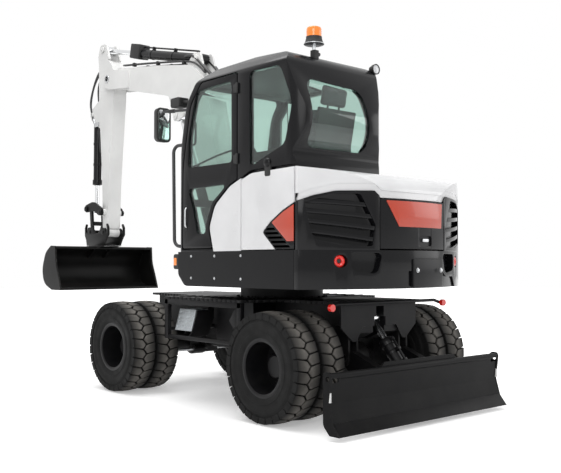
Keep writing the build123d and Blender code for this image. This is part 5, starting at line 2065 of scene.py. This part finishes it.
@dataclass
class Seat:
    """Operator's seat: swollen squab, back and headrest with sewn channels, on a moulded base."""

    squab: Limits = ((-1.165, 0.20, 1.822), (-0.68, 0.64, 1.895))
    back: Limits = ((-0.055, 0.215, 0.06), (0.025, 0.625, 0.46))
    rest: Limits = ((-0.04, 0.30, 0.50), (0.02, 0.54, 0.63))
    shell: Limits = ((-0.08, 0.225, 0.0), (-0.05, 0.615, 0.48))
    pivot: tuple[float, float, float] = (-1.145, 0.0, 1.86)
    lean: float = 12.0
    softness: float = 0.022
    channel_width: float = 0.007
    channel_depth: float = 0.006
    voxel: float = 0.006
    cap: float = 0.018
    pressure: float = 4.0
    frames: int = 20

    def leaned(self, piece: Piece) -> Piece:
        """Piece given from the back's foot, leaned back about it and put in place."""
        turn = Matrix.Rotation(-math.radians(self.lean), 4, "Y")
        piece.data.transform(Matrix.Translation(at(*self.pivot)) @ turn)
        return piece

    def swollen(self, pad: Piece) -> Piece:
        """Pad remeshed, blown up a little by cloth pressure and smoothed."""
        take(pad)
        pad.data.remesh_voxel_size = self.voxel
        bpy.ops.object.voxel_remesh()
        before = [vertex.co.copy() for vertex in pad.data.vertices]
        cloth = pad.modifiers.new("Cloth", "CLOTH")
        cloth.settings.use_pressure = True
        cloth.settings.uniform_pressure_force = self.pressure
        cloth.settings.effector_weights.gravity = 0.0
        for number in range(1, self.frames + 1):
            bpy.context.scene.frame_set(number)
        shape = pad.evaluated_get(bpy.context.evaluated_depsgraph_get()).to_mesh()
        after = [vertex.co.copy() for vertex in shape.vertices]
        pad.modifiers.remove(cloth)
        bpy.context.scene.frame_set(1)
        for vertex, old, new in zip(pad.data.vertices, before, after):
            step = new - old
            vertex.co = old + step * min(1.0, self.cap / max(step.length, 1e-9))
        smooth = pad.modifiers.new("Subdivision", "SUBSURF")
        smooth.levels = smooth.render_levels = 1
        return apply_all(pad)

    def sewn(self, pad: Piece, rows: Sequence[float], columns: Sequence[float], axis: int) -> Piece:
        """Sewn channels pressed into the pad.

        Args:
            pad: The pad.
            rows: Places of the channels across the seat, along X or Z.
            columns: Places of the channels along Y.
            axis: 0 when the rows lie along X, 2 when along Z.

        Returns:
            The same pad.
        """
        width, depth = self.channel_width, self.channel_depth
        for vertex in pad.data.vertices:
            near = min(
                [abs(vertex.co[axis] - row) for row in rows] + [
                    abs(vertex.co.y - column) for column in columns
                ]
            )
            if near < width:
                vertex.co -= vertex.normal * depth * (1 - (near / width) ** 2)
        return pad

    def build(self) -> None:
        """Make the three pads and their base."""
        low, high = self.squab
        columns = (0.29, 0.55)
        squab = self.swollen(box("seat_squab", at(*low), at(*high), self.softness))
        self.sewn(squab, (AXLE_MID - 0.80, AXLE_MID - 1.05), columns, 0)
        back = self.swollen(self.leaned(box("seat_back", *self.back, self.softness)))
        self.sewn(back, (2.02, 2.14, 2.24), columns, 2)
        rest = self.swollen(self.leaned(box("seat_headrest", *self.rest, self.softness)))
        for pad in (squab, back, rest):
            take(pad)
            bpy.ops.object.shade_smooth()
            dress(pad, "upper", Palette.cloth, ["seat"] if pad is squab else [])
        profile = [(-660, 1822, 20), (-1190, 1822, 20), (-1150, 1790, 10), (-700, 1790, 10)]
        tray = slab("tray", profile, Axis.Y, 205, 635, 0.004)
        bellows = []
        for i, shift in enumerate((0, 14, 0, 14, 0, 14)):
            low_z = 1737 + 10 * i
            limits = (-1100 + shift, -720 - shift), (240 + shift, 600 - shift), (low_z, low_z + 7)
            bellows.append(brick("fold", *limits, 0.003))
        shell = self.leaned(box("shell", *self.shell, 0.01))
        posts = [
            self.leaned(rod("post", (-0.02, y, 0.44), (-0.02, y, 0.54), 0.007))
            for y in (0.36, 0.48)
        ]
        dress(joined("seat_base", [tray, *bellows, shell, *posts]), "upper", Palette.seal)


@dataclass
class SmallTrim:
    """Bolts on the side bands and the grab rail's feet."""

    def build(self) -> None:
        """Place the bolts and the rail's feet."""
        moves = []
        for side in Side:
            out = Vector((0, side.value, 0))
            for x in (-0.15, -0.46, -0.785):
                for z in (1.225, 1.05):
                    moves.append(facing(out, at(x, side.value * 0.919, z)))
        dress(spread("band_bolts", hex_bolt(0.008, 0.005), moves), "upper", Palette.steel)
        feet = []
        for z in (1310, 2150):
            feet.append(stick("foot", (-20, 880, z), (20, 884, z), 22, 20, 0.003))
        dress(joined("rail_feet", feet), "upper", Palette.seal)


# ---- wheels -------------------------------------------------------------
@dataclass
class TwinWheels:
    """Twin tyres with lugs on every wheel, and the nuts of the rims."""

    radius: float = 0.41
    half_width: float = 0.112
    bead: float = 0.2005
    lugs: int = 30
    lug_height: float = 0.026
    groove: float = 0.011
    slant: float = 0.016
    nuts: int = 8
    nut_circle: float = 0.138
    nut_depth: float = 0.208

    def carcass(self) -> Piece:
        """Tyre without its lugs: sidewalls with raised rings, shoulders and tread base."""
        half, bead, base = self.half_width, self.bead, self.radius - self.lug_height
        flank = [
            (half - 0.024, bead), (half - 0.013, bead + 0.018), (half - 0.006, bead + 0.034),
            (half - 0.0045, bead + 0.036), (half - 0.0015, bead + 0.062),
            (half - 0.004, bead + 0.065), (half - 0.002, bead + 0.10), (half, bead + 0.104),
            (half - 0.0015, bead + 0.128), (half - 0.005, bead + 0.132),
            (half - 0.012, base - 0.012), (half - 0.03, base),
        ]
        section = flank + [(0.0, base + 0.001)] + [(-y, r) for y, r in reversed(flank)]
        return lathe("carcass", section, 72)

    def lug(self, side: float) -> Piece:
        """One lug at the tyre's top: pointed, slanted and wrapped over the shoulder."""
        reach = math.tau * self.radius / self.lugs / 2 - self.groove / 2
        low, top = self.radius - self.lug_height - 0.004, self.radius - 0.0016
        inner, knee, outer = -0.006, 0.022, self.half_width - 0.002
        corners = [
            (0.0, inner), (reach * 0.96, knee), (reach + self.slant, outer),
            (-reach + self.slant, outer), (-reach * 0.96, knee),
        ]
        made = plate("lug", [(u, side * v) for u, v in corners], Axis.Z, low, top, edge=0)
        for vertex in made.data.vertices:
            if abs(vertex.co.y) > outer - 0.001:
                vertex.co.z -= 0.010 if vertex.co.z > low + 0.001 else 0.030
        bevelled(made, 0.004, 1, 25)
        tread = made.data.attributes.new("tread", "FLOAT", "POINT")
        tops = [
            1.0 if v.co.z > top - 0.016 and abs(v.co.y) < outer - 0.004 else 0.0
            for v in made.data.vertices
        ]
        tread.data.foreach_set("value", tops)
        return made

    def tyre(self) -> Piece:
        """Whole tyre about the Y axis through the origin."""
        pitch = math.tau / self.lugs
        rows = []
        for side, shift in ((1, 0.0), (-1, 0.5)):
            moves = [Matrix.Rotation((i + shift) * pitch, 4, "Y") for i in range(self.lugs)]
            rows.append(spread("row", self.lug(side), moves))
        body = self.carcass()
        body.data.attributes.new("tread", "FLOAT", "POINT")
        return joined("tyre", [body, *rows])

    def build(self) -> None:
        """Make all the tyres, and dress the rims with nuts."""
        unit = self.tyre()
        for end in ("front", "rear"):
            for side in Side:
                node_name = f"tyres_{end}_{side.word}"
                body = f"wheel_{end}_{side.word}"
                room = span(node_name)
                outer = room.high.y if side is Side.LEFT else -room.low.y
                inner = room.low.y if side is Side.LEFT else -room.high.y
                pair = []
                for depth, turn in (
                    (outer - self.half_width, 0.0), (inner + self.half_width, 0.06)
                ):
                    place = Vector((room.mid.x, side.value * depth, room.mid.z))
                    pair.append(
                        copied(unit, Matrix.Translation(place) @ Matrix.Rotation(turn, 4, "Y"))
                    )
                dress(
                    joined(f"tyre_pair_{end}_{side.word}", pair), body, Palette.rubber, [node_name]
                )
                self.rim_details(end, side)
        bpy.data.objects.remove(unit)

    def rim_details(self, end: str, side: Side) -> None:
        """Wheel nuts round the disc.

        Args:
            end: "front" or "rear".
            side: Side of the machine.
        """
        rim = span(f"rims_{end}_{side.word}")
        face = rim.high.y if side is Side.LEFT else rim.low.y
        depth = face - side.value * self.nut_depth
        moves = []
        for i in range(self.nuts):
            turn = math.tau * (i + 0.5) / self.nuts
            place = Vector(
                (self.nut_circle * math.cos(turn), depth, self.nut_circle * math.sin(turn))
            )
            moves.append(
                facing(Vector((0, side.value, 0)), Vector((rim.mid.x, 0, rim.mid.z)) + place)
            )
        nuts = spread(f"wheel_nuts_{end}_{side.word}", hex_bolt(0.016, 0.016), moves)
        dress(nuts, f"wheel_{end}_{side.word}", Palette.rim)


# ---- studio -------------------------------------------------------------
@dataclass
class Studio:
    """Pale floor, soft lamps and the camera."""

    eye: tuple[float, float, float] = (-5.61, 4.82, 1.165)
    yaw: float = -41.71
    pitch: float = 1.89
    lens: float = 52.94
    floor_size: float = 60.0
    near_glow: float = 0.34
    ambient: float = 0.55
    fade: Corner = (2.2, 5.0)
    aim: tuple[float, float, float] = (0.0, 0.0, 1.4)
    lamps = (
        ("overhead", (-0.5, 1.0, 7.5), 6.0, 400.0),
        ("key", (-7.0, 7.0, 5.0), 4.0, 190.0),
        ("fill", (-6.0, -7.0, 3.5), 4.0, 90.0),
    )

    def floor(self) -> None:
        """Plain pale floor that keeps the machine's shadow."""
        take()
        bpy.ops.mesh.primitive_plane_add(size=self.floor_size, location=(0, 0, GROUND))
        ground = freeze(bpy.context.object)
        ground.name = "floor"
        material = bpy.data.materials.new("pale_floor")
        material.use_nodes = True
        tree = material.node_tree
        shader = tree.nodes["Principled BSDF"]
        shader.inputs["Base Color"].default_value = (0.90, 0.90, 0.90, 1.0)
        shader.inputs["Roughness"].default_value = 0.7
        shader.inputs["Specular IOR Level"].default_value = 0.1
        shader.inputs["Emission Color"].default_value = (1.0, 1.0, 1.0, 1.0)
        away = measure(tree, "LENGTH", {0: object_place(tree)})
        glow = product(tree, ramp(tree, away, *self.fade, self.near_glow, 1.0), self.seen(tree))
        tree.links.new(glow, shader.inputs["Emission Strength"])
        ground.data.materials.append(material)

    @staticmethod
    def seen(tree: Tree) -> Socket:
        """Value that is 1 for the camera, gloss and glass, and 0 for other light."""
        path = node(tree, "LightPath")
        direct = calc(tree, "MAXIMUM", path.outputs["Is Camera Ray"], path.outputs["Is Glossy Ray"])
        return calc(tree, "MAXIMUM", direct, path.outputs["Is Transmission Ray"])

    def lamp(self, name: str, place: Vector, aim: Vector, size: float, power: float) -> None:
        """Square soft lamp.

        Args:
            name: Name of the lamp.
            place: Where it hangs.
            aim: Point that it shines at.
            size: Length of its side.
            power: Power in watts.
        """
        light = bpy.data.lights.new(name, "AREA")
        light.shape = "SQUARE"
        light.size = size
        light.energy = power
        obj = bpy.data.objects.new(name, light)
        bpy.context.collection.objects.link(obj)
        obj.location = place
        obj.rotation_euler = (Vector(aim) - Vector(place)).to_track_quat("-Z", "Y").to_euler()

    def world(self) -> None:
        """White surroundings for the camera, gloss and glass, and a plainer light for the rest."""
        world = bpy.context.scene.world or bpy.data.worlds.new("studio")
        bpy.context.scene.world = world
        world.use_nodes = True
        tree = world.node_tree
        tree.nodes.clear()
        strength = ramp(tree, self.seen(tree), 0.0, 1.0, self.ambient, 1.0)
        back = node(tree, "Background", feeds={"Color": (1, 1, 1, 1), "Strength": strength})
        out = node(tree, "OutputWorld")
        tree.links.new(back.outputs[0], out.inputs["Surface"])

    def camera(self) -> None:
        """Camera behind the machine's left side, at chest height."""
        data = bpy.data.cameras.new("camera")
        data.lens = self.lens
        data.sensor_width = 36.0
        obj = bpy.data.objects.new("camera", data)
        bpy.context.collection.objects.link(obj)
        yaw, pitch = math.radians(self.yaw), math.radians(self.pitch)
        look = Vector(
            (math.cos(pitch) * math.cos(yaw), math.cos(pitch) * math.sin(yaw), math.sin(pitch))
        )
        obj.location = at(*self.eye)
        obj.rotation_euler = look.to_track_quat("-Z", "Y").to_euler()
        bpy.context.scene.camera = obj

    def build(self) -> None:
        """Set up the whole studio."""
        self.floor()
        self.world()
        for name, place, size, power in self.lamps:
            self.lamp(name, Vector(place), Vector(self.aim), size, power)
        self.camera()
        bpy.context.scene.view_settings.view_transform = "Standard"


def main() -> None:
    """Build everything in order."""
    logging.basicConfig(level=logging.INFO, format="%(name)s: %(message)s")
    Studio().build()
    Solids().dress()
    for assembly in (
        Tail(), SideCovers(), Cab(), Lamps(), Undercarriage(), BladeTrim(), BucketTrim(),
        Hydraulics(), CabFittings(), Seat(), SmallTrim(), TwinWheels()
    ):
        started = time.perf_counter()
        assembly.build()
        LOG.info("%s in %.1f s", type(assembly).__name__, time.perf_counter() - started)


if __name__ == "__main__":
    main()
